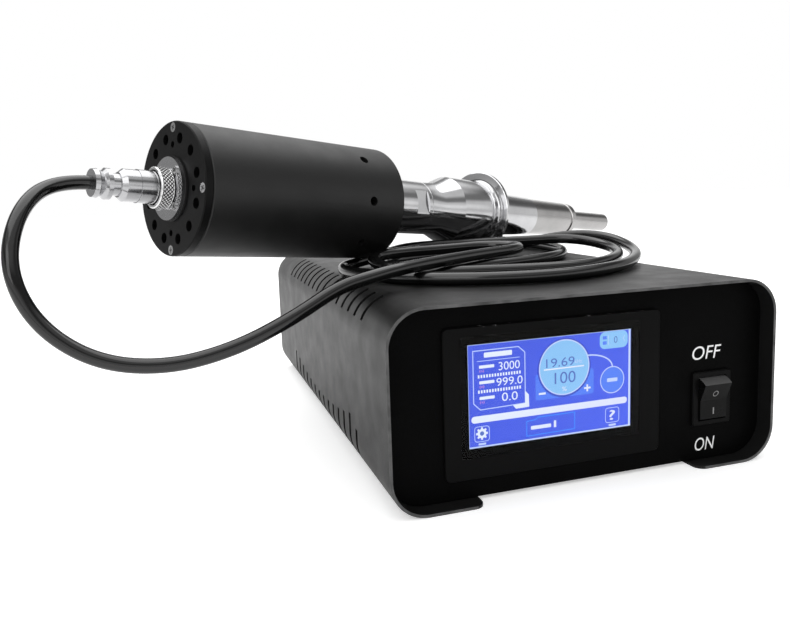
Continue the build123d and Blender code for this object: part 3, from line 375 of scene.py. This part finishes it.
CABLE_DIAMETER = 0.0074
cable_points = [
    (-242.980, -79.333, 168.291), (-259.6, -87.6, 169.6), (-272.0, -114.0, 157.2),
    (-276.6, -130.5, 131.0), (-266.4, -134.5, 104.4), (-242.6, -138, 85.6), (-211.8, -141, 80.4),
    (-180, -141, 86.2), (-150, -135, 98), (-124, -123, 110),
    (-105, -118, 113.5), (-88, -110, 115.6), (-72, -100, 116), (-55, -87, 116),
    (-37, -74, 116), (-19, -62, 116), (0, -51, 116), (16, -43, 116), (27, -32, 116),
    (29, -17, 116), (21, -5, 116), (6, 0, 116), (-10, -4, 116), (-28, -9, 116),
    (-46, -11, 116), (-64, -18, 116), (-78, -30, 115.6), (-84, -46, 114), (-78, -62, 111),
    (-66, -71, 109), (-50, -78, 108.3), (-34, -83, 108.3), (-14, -89, 108.3),
    (8, -95, 108.3), (30, -95, 108.3), (50, -89, 108.3), (70, -77, 108.6),
    (88, -60, 109.5), (99, -41, 111), (103, -20, 113), (98, 0, 115.6), (84, 13, 117),
    (62, 20, 116.2), (34, 24, 116.2), (4, 22, 116.3), (-22, 22, 116.6), (-44, 23, 115.4),
    (-62, 20, 110.6), (-82, 8, 108.3), (-95, -10, 108.3), (-100, -32, 108.3),
    (-96, -57, 108.3), (-86, -82, 108.3), (-68, -104, 108.3), (-44, -118, 108.3),
    (-20, -126, 108.3), (4, -127, 108.3), (26, -122, 108.3), (46, -113, 108.3),
    (66, -100, 108.3), (87, -80, 109), (103, -58, 111), (111, -34, 114.5),
    (111, -10, 118), (102, 10, 119.5), (84, 25, 117.5), (62, 31, 112.5), (42, 32, 109.5),
    (18, 34, 108.6), (-10, 31, 108.3), (-34, 20, 108.3), (-56, 4, 108.3), (-68, -16, 108.3),
    (-66, -36, 108.3), (-52, -50, 108.3), (-32, -57, 108.3), (-12, -57, 108.3),
    (8, -52, 108.3), (28, -46, 108.3), (46, -37, 108.3), (62, -24, 108.3),
    (76, -6, 108.3), (87, 17, 108.3), (91, 46, 108.3), (90, 78, 108.3),
    (87, 110, 108.4), (89, 140, 109), (87, 168, 114), (85, 202, 117), (86, 239.5, 114),
    (86, 263.5, 90), (85, 263.5, 57), (84, 239.5, 34), (84, 207.5, 34),
]
curve = bpy.data.curves.new("cable", "CURVE")
curve.dimensions = "3D"
curve.bevel_depth = CABLE_DIAMETER / 2
curve.bevel_resolution = 6
curve.resolution_u = 10
curve.use_fill_caps = True
spline = curve.splines.new("NURBS")
spline.points.add(len(cable_points) - 1)
for point, place in zip(spline.points, cable_points):
    point.co = (*(value * MM for value in place), 1.0)
spline.order_u = 3
spline.use_endpoint_u = True
curve.materials.append(looks["cable_jacket"])
cable = add_object("cable", curve)
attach(cable, "generator")
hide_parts("cable_loop", "cable_coil", "cable_tail")


# The vibrating stack to the photograph's sizes, in millimetres

RING_POINTS = 160
FLAT_TILT = math.radians(13)
EDGE_ANGLE = math.radians(24)


def flattened(side, rise, half_width):
    """A point round the axis, moved in where one of two opposite wrench flats cuts it off."""
    out = side * math.cos(FLAT_TILT) - rise * math.sin(FLAT_TILT)
    along_flat = side * math.sin(FLAT_TILT) + rise * math.cos(FLAT_TILT)
    out = max(-half_width, min(half_width, out))
    return (
        out * math.cos(FLAT_TILT) + along_flat * math.sin(FLAT_TILT),
        -out * math.sin(FLAT_TILT) + along_flat * math.cos(FLAT_TILT),
    )


def ring_of(mesh, place, radius, flats):
    """Vertices round the axis at one place along it, or a single one on the axis itself."""
    centre = PROBE + ALONG * place * MM
    if radius == 0:
        return [mesh.verts.new(centre)]
    vertices = []
    for i in range(RING_POINTS):
        angle = i * math.tau / RING_POINTS
        side, rise = radius * math.cos(angle), radius * math.sin(angle)
        if flats and flats[0] <= place <= flats[1] and radius > flats[2]:
            side, rise = flattened(side, rise, flats[2])
        vertices.append(mesh.verts.new(centre + (ACROSS * side + ABOVE * rise) * MM))
    return vertices


def turned(name, node, slot, profile, flats=None):
    """A turned piece in place of a node. Its profile has (place along the axis, radius) pairs, and
    flats are given as (start, end, half width)."""
    mesh = bmesh.new()
    rings = [ring_of(mesh, place, radius, flats) for place, radius in profile]
    pairs = list(zip(rings, rings[1:]))
    if profile[0][1] > 0 or profile[-1][1] > 0:
        pairs.append((rings[-1], rings[0]))
    for first, second in pairs:
        if len(first) == len(second) == 1:
            continue
        for i in range(RING_POINTS):
            j = (i + 1) % RING_POINTS
            if len(first) == 1:
                mesh.faces.new((first[0], second[i], second[j]))
            elif len(second) == 1:
                mesh.faces.new((first[i], second[0], first[j]))
            else:
                mesh.faces.new((first[i], second[i], second[j], first[j]))
    bmesh.ops.recalc_face_normals(mesh, faces=mesh.faces)
    data = bpy.data.meshes.new(name)
    mesh.to_mesh(data)
    mesh.free()
    for polygon in data.polygons:
        polygon.use_smooth = True
    data.set_sharp_from_angle(angle=EDGE_ANGLE)
    data.materials.append(looks[slot])
    obj = add_object(name, data)
    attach(obj, "generator")
    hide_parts(node)


def stud_hole(joint, inward):
    """The end face's hole for a joint stud, from its mouth to its floor on the axis."""
    floor_place = joint + STUD_REACH * inward
    return [(joint, STUD_RADIUS), (floor_place, STUD_RADIUS), (floor_place, 0)]


FRONT_START, JOINT_1, JOINT_2, JOINT_3, TIP_END = 123.6, 194.0, 268.5, 328.3, 458.6
STUD_RADIUS, STUD_REACH = 5.05, 12.0
EDGE = 0.3

# The front mass: a shoulder and a collar inside the housing, then a plain bar with wrench flats
BOLT_RADIUS = 6.05
SHOULDER_END, SHOULDER_RADIUS = FRONT_START + 12, 25
COLLAR_END, COLLAR_RADIUS = FRONT_START + 18, 31.8
FRONT_RADIUS = 19.5
FLAT_START, FLAT_END, FLAT_HALF_WIDTH = 178.35, 190.75, 17.35
turned(
    "front_mass_turned",
    "front_mass",
    "bright_aluminium",
    [
        (FRONT_START, BOLT_RADIUS), (FRONT_START, SHOULDER_RADIUS), (SHOULDER_END, SHOULDER_RADIUS),
        (SHOULDER_END, COLLAR_RADIUS), (COLLAR_END, COLLAR_RADIUS), (COLLAR_END, FRONT_RADIUS),
        (FLAT_START - 0.05, FRONT_RADIUS), (FLAT_START + 0.05, FRONT_RADIUS),
        (FLAT_END - 0.05, FRONT_RADIUS), (FLAT_END + 0.05, FRONT_RADIUS),
        (JOINT_1 - EDGE, FRONT_RADIUS), (JOINT_1, FRONT_RADIUS - EDGE),
        *stud_hole(JOINT_1, -1), (COLLAR_END, 0), (COLLAR_END, BOLT_RADIUS),
    ],
    flats=(FLAT_START, FLAT_END, FLAT_HALF_WIDTH),
)

# The booster: a cone up to its body, a groove, a neck and the clamping flange
CONE_START, CONE_END = 208.9, 223.6
BOOSTER_RADIUS = 25.0
GROOVE_START, GROOVE_END, GROOVE_RADIUS = 257.9, 258.5, 24.3
NECK_START, NECK_END, NECK_RADIUS = 260.9, 262.8, 24.2
FLANGE_START, FLANGE_END, FLANGE_RADIUS = 264.5, 267.6, 32.4
FLANGE_EDGE, FLANGE_BACK_RADIUS = 31.8, 22
turned(
    "booster_turned",
    "booster",
    "bright_aluminium",
    [
        *reversed(stud_hole(JOINT_1, 1)), (JOINT_1, FRONT_RADIUS - EDGE),
        (JOINT_1 + EDGE, FRONT_RADIUS), (CONE_START, FRONT_RADIUS),
        (CONE_END, BOOSTER_RADIUS + 0.2), (CONE_END + 0.6, BOOSTER_RADIUS + 0.3),
        (GROOVE_START - 0.5, BOOSTER_RADIUS), (GROOVE_START, GROOVE_RADIUS),
        (GROOVE_END, GROOVE_RADIUS), (GROOVE_END + 0.4, BOOSTER_RADIUS),
        (NECK_START - 0.5, BOOSTER_RADIUS), (NECK_START, NECK_RADIUS), (NECK_END, NECK_RADIUS),
        (NECK_END + 0.8, NECK_RADIUS + 0.4), (NECK_END + 1.4, NECK_RADIUS + 1.4),
        (FLANGE_START, NECK_RADIUS + 2.8), (FLANGE_START, FLANGE_EDGE),
        (FLANGE_START + 0.4, FLANGE_RADIUS), (FLANGE_END - 0.4, FLANGE_RADIUS),
        (FLANGE_END, FLANGE_EDGE), (FLANGE_END, FLANGE_BACK_RADIUS), (JOINT_2, 18.1),
        *stud_hole(JOINT_2, -1),
    ],
)

# The horn: a long slight taper
HORN_START_RADIUS, HORN_END_RADIUS = 18.0, 16.1
turned(
    "horn_turned",
    "horn",
    "bright_aluminium",
    [
        *reversed(stud_hole(JOINT_2, 1)), (JOINT_2, HORN_START_RADIUS),
        (JOINT_3 - 0.4, HORN_END_RADIUS), (JOINT_3, HORN_END_RADIUS - 0.4),
        *stud_hole(JOINT_3, -1),
    ],
)

# The screwed tip: a tapering base with a ring groove, a shoulder and the thin rod
BASE_START_RADIUS, BASE_END_RADIUS = 15.4, 14.5
TIP_GROOVE_START, TIP_GROOVE_END, TIP_GROOVE_RADIUS = 382.9, 385.0, 13.5
BASE_END, ROD_START = 391.0, 397.2
ROD_RADIUS, ROD_EDGE = 8.2, 1.2
turned(
    "horn_tip_turned",
    "horn_tip",
    "titanium",
    [
        *reversed(stud_hole(JOINT_3, 1)), (JOINT_3, BASE_START_RADIUS - 0.4),
        (JOINT_3 + 0.4, BASE_START_RADIUS), (TIP_GROOVE_START - 0.5, BASE_END_RADIUS + 0.1),
        (TIP_GROOVE_START, TIP_GROOVE_RADIUS), (TIP_GROOVE_END, TIP_GROOVE_RADIUS),
        (TIP_GROOVE_END + 0.5, BASE_END_RADIUS + 0.1), (BASE_END, BASE_END_RADIUS),
        (BASE_END + 1.6, 13.4), (ROD_START - 1.2, 9.6), (ROD_START, ROD_RADIUS),
        (TIP_END - ROD_EDGE, ROD_RADIUS), (TIP_END, ROD_RADIUS - ROD_EDGE), (TIP_END, 0),
    ],
)


# Flat graphics: shapes in millimetres on a plane, x to the right and z up


def rounded(x0, z0, x1, z1, radius):
    points = []
    for cx, cz, start in (
        (x1 - radius, z0 + radius, -90),
        (x1 - radius, z1 - radius, 0),
        (x0 + radius, z1 - radius, 90),
        (x0 + radius, z0 + radius, 180),
    ):
        for step in range(9):
            angle = math.radians(start + step * 90 / 8)
            points.append((cx + radius * math.cos(angle), cz + radius * math.sin(angle)))
    return [points]


def box(x0, z0, x1, z1):
    return [[(x0, z0), (x1, z0), (x1, z1), (x0, z1)]]


def disc(cx, cz, radius, count=72):
    angles = [i * math.tau / count for i in range(count)]
    return [[(cx + radius * math.cos(a), cz + radius * math.sin(a)) for a in angles]]


def stroke(points, width, closed=False):
    """A line of even width along points, with mitred corners."""
    count = len(points)
    left_edge, right_edge = [], []
    for i, point in enumerate(points):
        before = points[i - 1] if i or closed else point
        after = points[(i + 1) % count] if i < count - 1 or closed else point
        run_in = Vector(point) - Vector(before)
        run_out = Vector(after) - Vector(point)
        run_in = run_in.normalized() if run_in.length else run_out.normalized()
        run_out = run_out.normalized() if run_out.length else run_in
        middle = (run_in + run_out).normalized()
        outward = Vector((-middle.y, middle.x))
        reach = width / 2 / max(0.4, outward.dot(Vector((-run_in.y, run_in.x))))
        left_edge.append(tuple(Vector(point) + outward * reach))
        right_edge.append(tuple(Vector(point) - outward * reach))
    shapes = []
    for i in range(count if closed else count - 1):
        j = (i + 1) % count
        shapes.append([right_edge[i], right_edge[j], left_edge[j], left_edge[i]])
    return shapes


def ring(cx, cz, radius, width):
    return stroke(disc(cx, cz, radius)[0], width, closed=True)


def letters(text, x0, z0, x1, z1, weight=0.0, slant=0.0):
    """Plain letters as flat shapes that fill the given box."""
    font = bpy.data.curves.new("letters", "FONT")
    font.body = text
    font.offset = weight
    font.shear = slant
    font.resolution_u = 6
    holder = add_object("letters", font)
    bpy.context.view_layer.update()
    outlines = holder.evaluated_get(bpy.context.evaluated_depsgraph_get())
    mesh = bpy.data.meshes.new_from_object(outlines)
    bpy.data.objects.remove(holder)
    xs = [v.co.x for v in mesh.vertices]
    ys = [v.co.y for v in mesh.vertices]
    x_scale = (x1 - x0) / (max(xs) - min(xs))
    z_scale = (z1 - z0) / (max(ys) - min(ys))
    points = [(x0 + (x - min(xs)) * x_scale, z0 + (y - min(ys)) * z_scale) for x, y in zip(xs, ys)]
    shapes = [[points[i] for i in polygon.vertices] for polygon in mesh.polygons]
    bpy.data.meshes.remove(mesh)
    return shapes


def graphic(name, shapes, material, place, body):
    """One mesh from flat shapes, where place turns an (x, z) in millimetres into a point."""
    mesh = bmesh.new()
    for shape in shapes:
        mesh.faces.new([mesh.verts.new(place(x, z)) for x, z in shape])
    data = bpy.data.meshes.new(name)
    mesh.to_mesh(data)
    mesh.free()
    data.materials.append(material)
    obj = add_object(name, data)
    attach(obj, body)


# The lit screen, drawn in layers from the lower left corner of its picture

SCREEN_WIDTH, SCREEN_HEIGHT = 95.0, 53.8
DISPLAY_X, DISPLAY_Z = -21.4, 54.7
SCREEN_LEFT, SCREEN_BOTTOM = DISPLAY_X - SCREEN_WIDTH / 2, DISPLAY_Z - SCREEN_HEIGHT / 2
SCREEN_LAYER = 0.00002
DIAL_X, DIAL_Z = 54.7, 36.8
BUTTON_X, BUTTON_Z, BUTTON_RADIUS = 83.5, 26.9, 7.2
GEAR_X, GEAR_Z = 7.2, 7.4
ROW_BARS = (41.2, 33.1, 25.0)
TICK_ROWS = (36.3, 28.4)
TICK_START, TICK_WIDTH, TICK_PITCH, TICK_COUNT = 5.5, 0.9, 1.53, 16


def lit(name, colour, second):
    """A lit part of the screen, with a faint pixel grain and a slow change of tone across it."""
    look = Look(name)
    across = look.ramp(look.dot(look.place, (0.7, 0.0, -0.7)), -0.08, 0.03)
    pixels = look.ramp(look.noise(2600, 1), 0.3, 0.7, 0.97, 1.03)
    look.set("Base Color", grey(0.01))
    look.set("Roughness", 0.35)
    look.set("Specular IOR Level", 0.2)
    scaled = look.add("ShaderNodeVectorMath", "SCALE")
    look.link(look.blend(across, colour, second), scaled.inputs[0])
    look.link(pixels, scaled.inputs["Scale"])
    look.set("Emission Color", scaled.outputs["Vector"])
    look.set("Emission Strength", 1.0)
    return look.material


def gear():
    """A settings wheel with eight teeth."""
    root, crest = 2.45, 3.3
    points = []
    for tooth in range(8):
        for turn, reach in ((-14, root), (-9, crest), (9, crest), (14, root)):
            angle = math.radians(tooth * 45 + turn)
            points.append((GEAR_X + reach * math.cos(angle), GEAR_Z + reach * math.sin(angle)))
    return [points]


def quarter_arc(cx, cz, x_radius, z_radius):
    """From straight above the centre round to its right."""
    angles = [math.radians(a) for a in range(0, 91, 6)]
    return [(cx + x_radius * math.sin(a), cz + z_radius * math.cos(a)) for a in angles]


def row_bars():
    return [shape for z in ROW_BARS for shape in rounded(6.2, z, 14.6, z + 1.6, 0.4)]


def row_marks():
    return [shape for z in ROW_BARS for shape in letters("(s)", 6.4, z - 2.2, 8.9, z - 0.6)]


def ticks():
    starts = [TICK_START + i * TICK_PITCH for i in range(TICK_COUNT)]
    return [shape for z in TICK_ROWS for x in starts for shape in box(x, z, x + TICK_WIDTH, z + 1.6)]


blue = lit("screen_blue", rgb(68, 92, 226), rgb(80, 106, 246))
deep = lit("screen_deep", rgb(52, 74, 196), rgb(56, 80, 206))
pad = lit("screen_pad", rgb(84, 128, 242), rgb(92, 138, 250))
pale = lit("screen_pale", rgb(142, 200, 244), rgb(152, 208, 250))
line = lit("screen_line", rgb(196, 214, 252), rgb(214, 226, 254))
white = lit("screen_white", rgb(240, 246, 255), rgb(226, 228, 252))
ink = lit("screen_ink", rgb(86, 116, 196), rgb(92, 122, 204))
rose = lit("screen_rose", rgb(232, 156, 216), rgb(236, 160, 220))
edge_blue = lit("screen_edge_blue", rgb(60, 156, 255), rgb(66, 160, 255))

VALUES_FRAME = [(3.0, 50.4), (28.2, 50.5), (31.8, 47.3), (31.8, 20.4), (6.6, 19.8), (3.0, 23.3)]
VALUES_CORNER = [(31.8, 26.9), (33.8, 24.7), (34.0, 18.2), (26.4, 18.0), (24.8, 20.0), (31.8, 20.4)]
LOWER_BOX = [(32.4, 10.4), (37.6, 10.8), (39.1, 11.9), (60.6, 11.9), (60.6, 2.9), (32.4, 2.5)]
screen_layers = [
    ("screen_ground", blue, box(0, 0, SCREEN_WIDTH, SCREEN_HEIGHT)),
    (
        "screen_frame",
        line,
        box(0, 0, 0.45, SCREEN_HEIGHT)
        + box(0, 53.4, SCREEN_WIDTH, SCREEN_HEIGHT)
        + box(0, 0, SCREEN_WIDTH, 0.8)
        + box(93.6, 0, 94.8, SCREEN_HEIGHT),
    ),
    (
        "screen_pads",
        pad,
        rounded(37.8, 20.8, 52.8, 34.5, 1.2) + rounded(57.2, 20.8, 72.2, 34.5, 1.2),
    ),
    ("screen_disc_shadow", deep, disc(DIAL_X, DIAL_Z - 0.2, 15.7)),
    ("screen_disc_rim", line, disc(DIAL_X, DIAL_Z, 14.9)),
    ("screen_pale_parts", pale, disc(DIAL_X, DIAL_Z, 14.2) + rounded(75.8, 44.1, 93.0, 53.3, 3.2)),
    ("screen_button", pad, disc(BUTTON_X, BUTTON_Z, BUTTON_RADIUS)),
    (
        "screen_lines",
        line,
        stroke(VALUES_FRAME, 0.5, closed=True)
        + stroke([(5.2, 45.0), (28.9, 45.0)], 0.35)
        + stroke(quarter_arc(68.6, 34.1, 14.9, 7.7), 0.75)
        + ring(BUTTON_X, BUTTON_Z, BUTTON_RADIUS, 0.5)
        + stroke(rounded(3.2, 3.2, 11.3, 11.1, 1.5)[0], 0.35, closed=True)
        + stroke(rounded(79.4, 3.4, 87.7, 11.5, 1.5)[0], 0.35, closed=True)
        + box(80.9, 46.2, 81.2, 51.4)
        + rounded(80.3, 25.9, 86.7, 27.9, 0.4)
        + stroke([(91.2, 50.4), (90.0, 49.0), (91.2, 47.6)], 0.3)
        + rounded(81.4, 1.4, 85.8, 2.5, 0.3)
        + rounded(5.2, 1.3, 9.4, 2.4, 0.3)
        + letters("kHz", 60.9, 38.3, 65.2, 40.3),
    ),
    (
        "screen_small_bars",
        pad,
        rounded(77.6, 49.3, 80.0, 51.1, 0.3) + rounded(77.6, 46.5, 80.0, 48.3, 0.3),
    ),
    (
        "screen_whites",
        white,
        [VALUES_CORNER]
        + rounded(1.5, 13.1, 92.7, 16.7, 1.75)
        + box(39.6, 23.6, 43.6, 24.7)
        + box(66.3, 23.7, 70.2, 24.7)
        + box(67.75, 22.3, 68.75, 26.1)
        + box(42.6, 36.2, 66.3, 36.9)
        + gear()
        + ticks()
        + rounded(9.0, 46.6, 24.6, 49.2, 0.5)
        + row_bars()
        + rounded(34.8, 5.6, 46.6, 7.6, 0.5)
        + letters("3000", 17.0, 39.2, 28.9, 43.5)
        + letters("999.0", 15.7, 31.1, 30.4, 35.3)
        + letters("0.0", 18.6, 22.9, 27.5, 27.3)
        + letters("1", 48.2, 5.2, 49.6, 8.9)
        + letters("?", 81.7, 4.7, 85.3, 10.2, 0.01)
        + letters("%", 53.2, 24.1, 55.9, 26.5),
    ),
    (
        "screen_inks",
        ink,
        letters("19.69", 43.9, 37.5, 60.6, 42.2)
        + letters("100", 48.8, 28.3, 61.2, 34.5)
        + letters("0", 84.4, 46.9, 86.6, 50.5)
        + disc(GEAR_X, GEAR_Z, 1.15, 24),
    ),
    ("screen_marks", rose, row_marks()),
    ("screen_box", edge_blue, stroke(LOWER_BOX, 0.4, closed=True)),
]
module_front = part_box("display_module")[0].y
for layer, (name, material, shapes) in enumerate(screen_layers, start=1):
    graphic(
        name,
        shapes,
        material,
        lambda x, z: (
            (SCREEN_LEFT + x) * MM,
            module_front - SCREEN_LAYER * layer,
            (SCREEN_BOTTOM + z) * MM,
        ),
        "generator",
    )


# Printed words on the front panel, and marks that follow the rocker's face

PRINT_THICKNESS = 0.00004
RAY_START = -0.3
WORD_SLANT = 0.18
panel_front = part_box("front_panel")[0].y - PRINT_THICKNESS
rocker = nodes["power_rocker"]


def on_rocker(x, z):
    hit, place, normal, _ = rocker.ray_cast(Vector((x * MM, RAY_START, z * MM)), Y_AXIS)
    return place + normal * PRINT_THICKNESS if hit else Vector((x * MM, panel_front, z * MM))


graphic(
    "switch_words",
    letters("OFF", 66.2, 59.7, 85.6, 67.3, slant=WORD_SLANT)
    + letters("ON", 69.0, 6.8, 82.4, 14.3, slant=WORD_SLANT),
    painted("print_white", grey(0.9), grey(0.96), 0.5, 0.06, 1500, 0.00003).material,
    lambda x, z: (x * MM, panel_front, z * MM),
    "generator",
)
graphic(
    "rocker_marks",
    ring(78.6, 40.6, 1.55, 0.45) + box(78.2, 28.4, 79.0, 32.2),
    painted("mark_grey", grey(0.22), grey(0.29), 0.5, 0.06, 1500, 0.00003).material,
    on_rocker,
    "rocker",
)


# Cross recesses in the heads of the cap's screws and of the socket's screws, drawn as flat crosses of
# painted shade

CAP_SCREWS, SOCKET_SCREWS = 34.4, 10.04
# Painted shade: the recesses are flat dark crosses, not holes.
recess_shade = painted("screw_recess_shade", grey(0.02), grey(0.03), 0.5, 0.05, 1500, 0.00003).material


def crosses(name, centres, reach, width, rise):
    """A cross of painted shade on each screw head, each turned differently, at a height above the cap's
    face.
    """
    shapes = []
    for index, (cx, cz) in enumerate(centres):
        for turn in (25 + index * 31, 115 + index * 31):
            dx, dz = reach * math.cos(math.radians(turn)), reach * math.sin(math.radians(turn))
            shapes += stroke([(cx - dx, cz - dz), (cx + dx, cz + dz)], width)
    graphic(
        name,
        shapes,
        recess_shade,
        lambda x, z: PROBE - ALONG * rise * MM + (ACROSS * x + ABOVE * z) * MM,
        "generator",
    )


crosses(
    "cap_screw_recess_shade",
    [(0, CAP_SCREWS), (CAP_SCREWS, 0), (0, -CAP_SCREWS), (-CAP_SCREWS, 0)],
    reach=1.45,
    width=0.62,
    rise=0.04,
)
crosses(
    "socket_screw_recess_shade",
    [(x * SOCKET_SCREWS, z * SOCKET_SCREWS) for x in (-1, 1) for z in (-1, 1)],
    reach=1.25,
    width=0.55,
    rise=3.94,
)


# The floor: pale, with a faint glow that the camera sees and gloss sees a tenth of

FLOOR_HALF = 6
FLOOR_GLOW = 0.42
GLOW_IN_GLOSS = 0.1
floor_mesh = bpy.data.meshes.new("floor")
floor_mesh.from_pydata(
    [(x * FLOOR_HALF, y * FLOOR_HALF, 0) for x, y in ((-1, -1), (1, -1), (1, 1), (-1, 1))],
    [],
    [(0, 1, 2, 3)],
)
floor = add_object("floor", floor_mesh)
ground = Look("floor")
ground.set("Base Color", ground.blend(ground.noise(3, 2), grey(0.86), grey(0.9)))
ground.set("Roughness", 0.7)
ground.set("Specular IOR Level", 0.0)
paths = ground.add("ShaderNodeLightPath").outputs
in_gloss = ground.larger(paths["Is Glossy Ray"], paths["Is Transmission Ray"])
seen = ground.larger(paths["Is Camera Ray"], ground.times(in_gloss, GLOW_IN_GLOSS))
glow = ground.add("ShaderNodeEmission")
ground.link(ground.times(seen, FLOOR_GLOW), glow.inputs["Strength"])
both = ground.add("ShaderNodeAddShader")
ground.link(ground.shader.outputs[0], both.inputs[0])
ground.link(glow.outputs[0], both.inputs[1])
ground.link(both.outputs[0], ground.tree.nodes["Material Output"].inputs["Surface"])
floor_mesh.materials.append(ground.material)


# Two soft lights


def softbox(name, place, aim, width, height, power):
    data = bpy.data.lights.new(name, "AREA")
    data.shape = "RECTANGLE"
    data.size = width
    data.size_y = height
    data.energy = power
    obj = add_object(name, data)
    obj.location = place
    obj.rotation_euler = (Vector(aim) - Vector(place)).to_track_quat("-Z", "Y").to_euler()


softbox("top_light", place=(-0.15, 0.3, 1.5), aim=(0.0, 0.05, 0.1), width=2.6, height=2.0, power=22)
softbox("front_light", place=(-1.1, -1.3, 1.1), aim=(0.0, -0.1, 0.05), width=1.0, height=1.0, power=5)


# The world: white for the camera, a little darker as light, and a studio where gloss looks

WORLD_SEEN, WORLD_LIGHT = 1.0, 0.72
FRONT_LEVEL, OVERHEAD_LEVEL, LOWEST_LEVEL = 0.7, 0.6, 0.08
world = bpy.data.worlds.new("studio")
bpy.context.scene.world = world
world.use_nodes = True
sky = Tree(world.node_tree)


def reflected_studio():
    """A white back between darker sides, a greyer front with a low band, and a dark gap under the top."""
    split = sky.add("ShaderNodeSeparateXYZ")
    sky.link(sky.add("ShaderNodeTexCoord").outputs["Generated"], split.inputs[0])
    side, depth, rise = split.outputs
    left_side = sky.ramp(side, -0.62, -0.4, 0.34, 1.0, smooth=True)
    right_side = sky.ramp(side, 0.6, 0.8, 1.0, 0.36, smooth=True)
    back_part = sky.ramp(depth, 0.0, 0.3, smooth=True)
    back_level = sky.times(back_part, sky.times(left_side, right_side))
    front_level = sky.times(sky.minus(1.0, back_part), FRONT_LEVEL)
    level = sky.plus(back_level, front_level)
    gap_start = sky.ramp(rise, 0.3, 0.42, smooth=True)
    gap = sky.times(gap_start, sky.ramp(rise, 0.52, 0.66, 1.0, 0.0, smooth=True))
    level = sky.times(level, sky.minus(1.0, sky.times(gap, 0.7)))
    band_start = sky.times(sky.ramp(depth, -0.1, -0.3, smooth=True), sky.ramp(rise, 0.0, 0.12, smooth=True))
    band = sky.times(band_start, sky.ramp(rise, 0.16, 0.28, 1.0, 0.0, smooth=True))
    level = sky.plus(level, sky.times(band, 0.3))
    level = sky.larger(level, sky.ramp(rise, 0.6, 0.8, 0.0, OVERHEAD_LEVEL, smooth=True))
    return sky.larger(level, LOWEST_LEVEL)


def background(node, strength):
    node.inputs["Color"].default_value = grey(1.0)
    sky.put(strength, node.inputs["Strength"])
    return node.outputs[0]


def mixed(factor, first, second):
    node = sky.add("ShaderNodeMixShader")
    for source, socket in zip((factor, first, second), node.inputs):
        sky.link(source, socket)
    return node.outputs[0]


light = background(sky.tree.nodes["Background"], WORLD_LIGHT)
seen_white = background(sky.add("ShaderNodeBackground"), WORLD_SEEN)
studio = background(sky.add("ShaderNodeBackground"), reflected_studio())
rays = sky.add("ShaderNodeLightPath").outputs
glossy = sky.larger(rays["Is Glossy Ray"], rays["Is Transmission Ray"])
surface = mixed(rays["Is Camera Ray"], mixed(glossy, light, studio), seen_white)
sky.link(surface, sky.tree.nodes["World Output"].inputs["Surface"])

bpy.context.scene.view_settings.view_transform = "Standard"
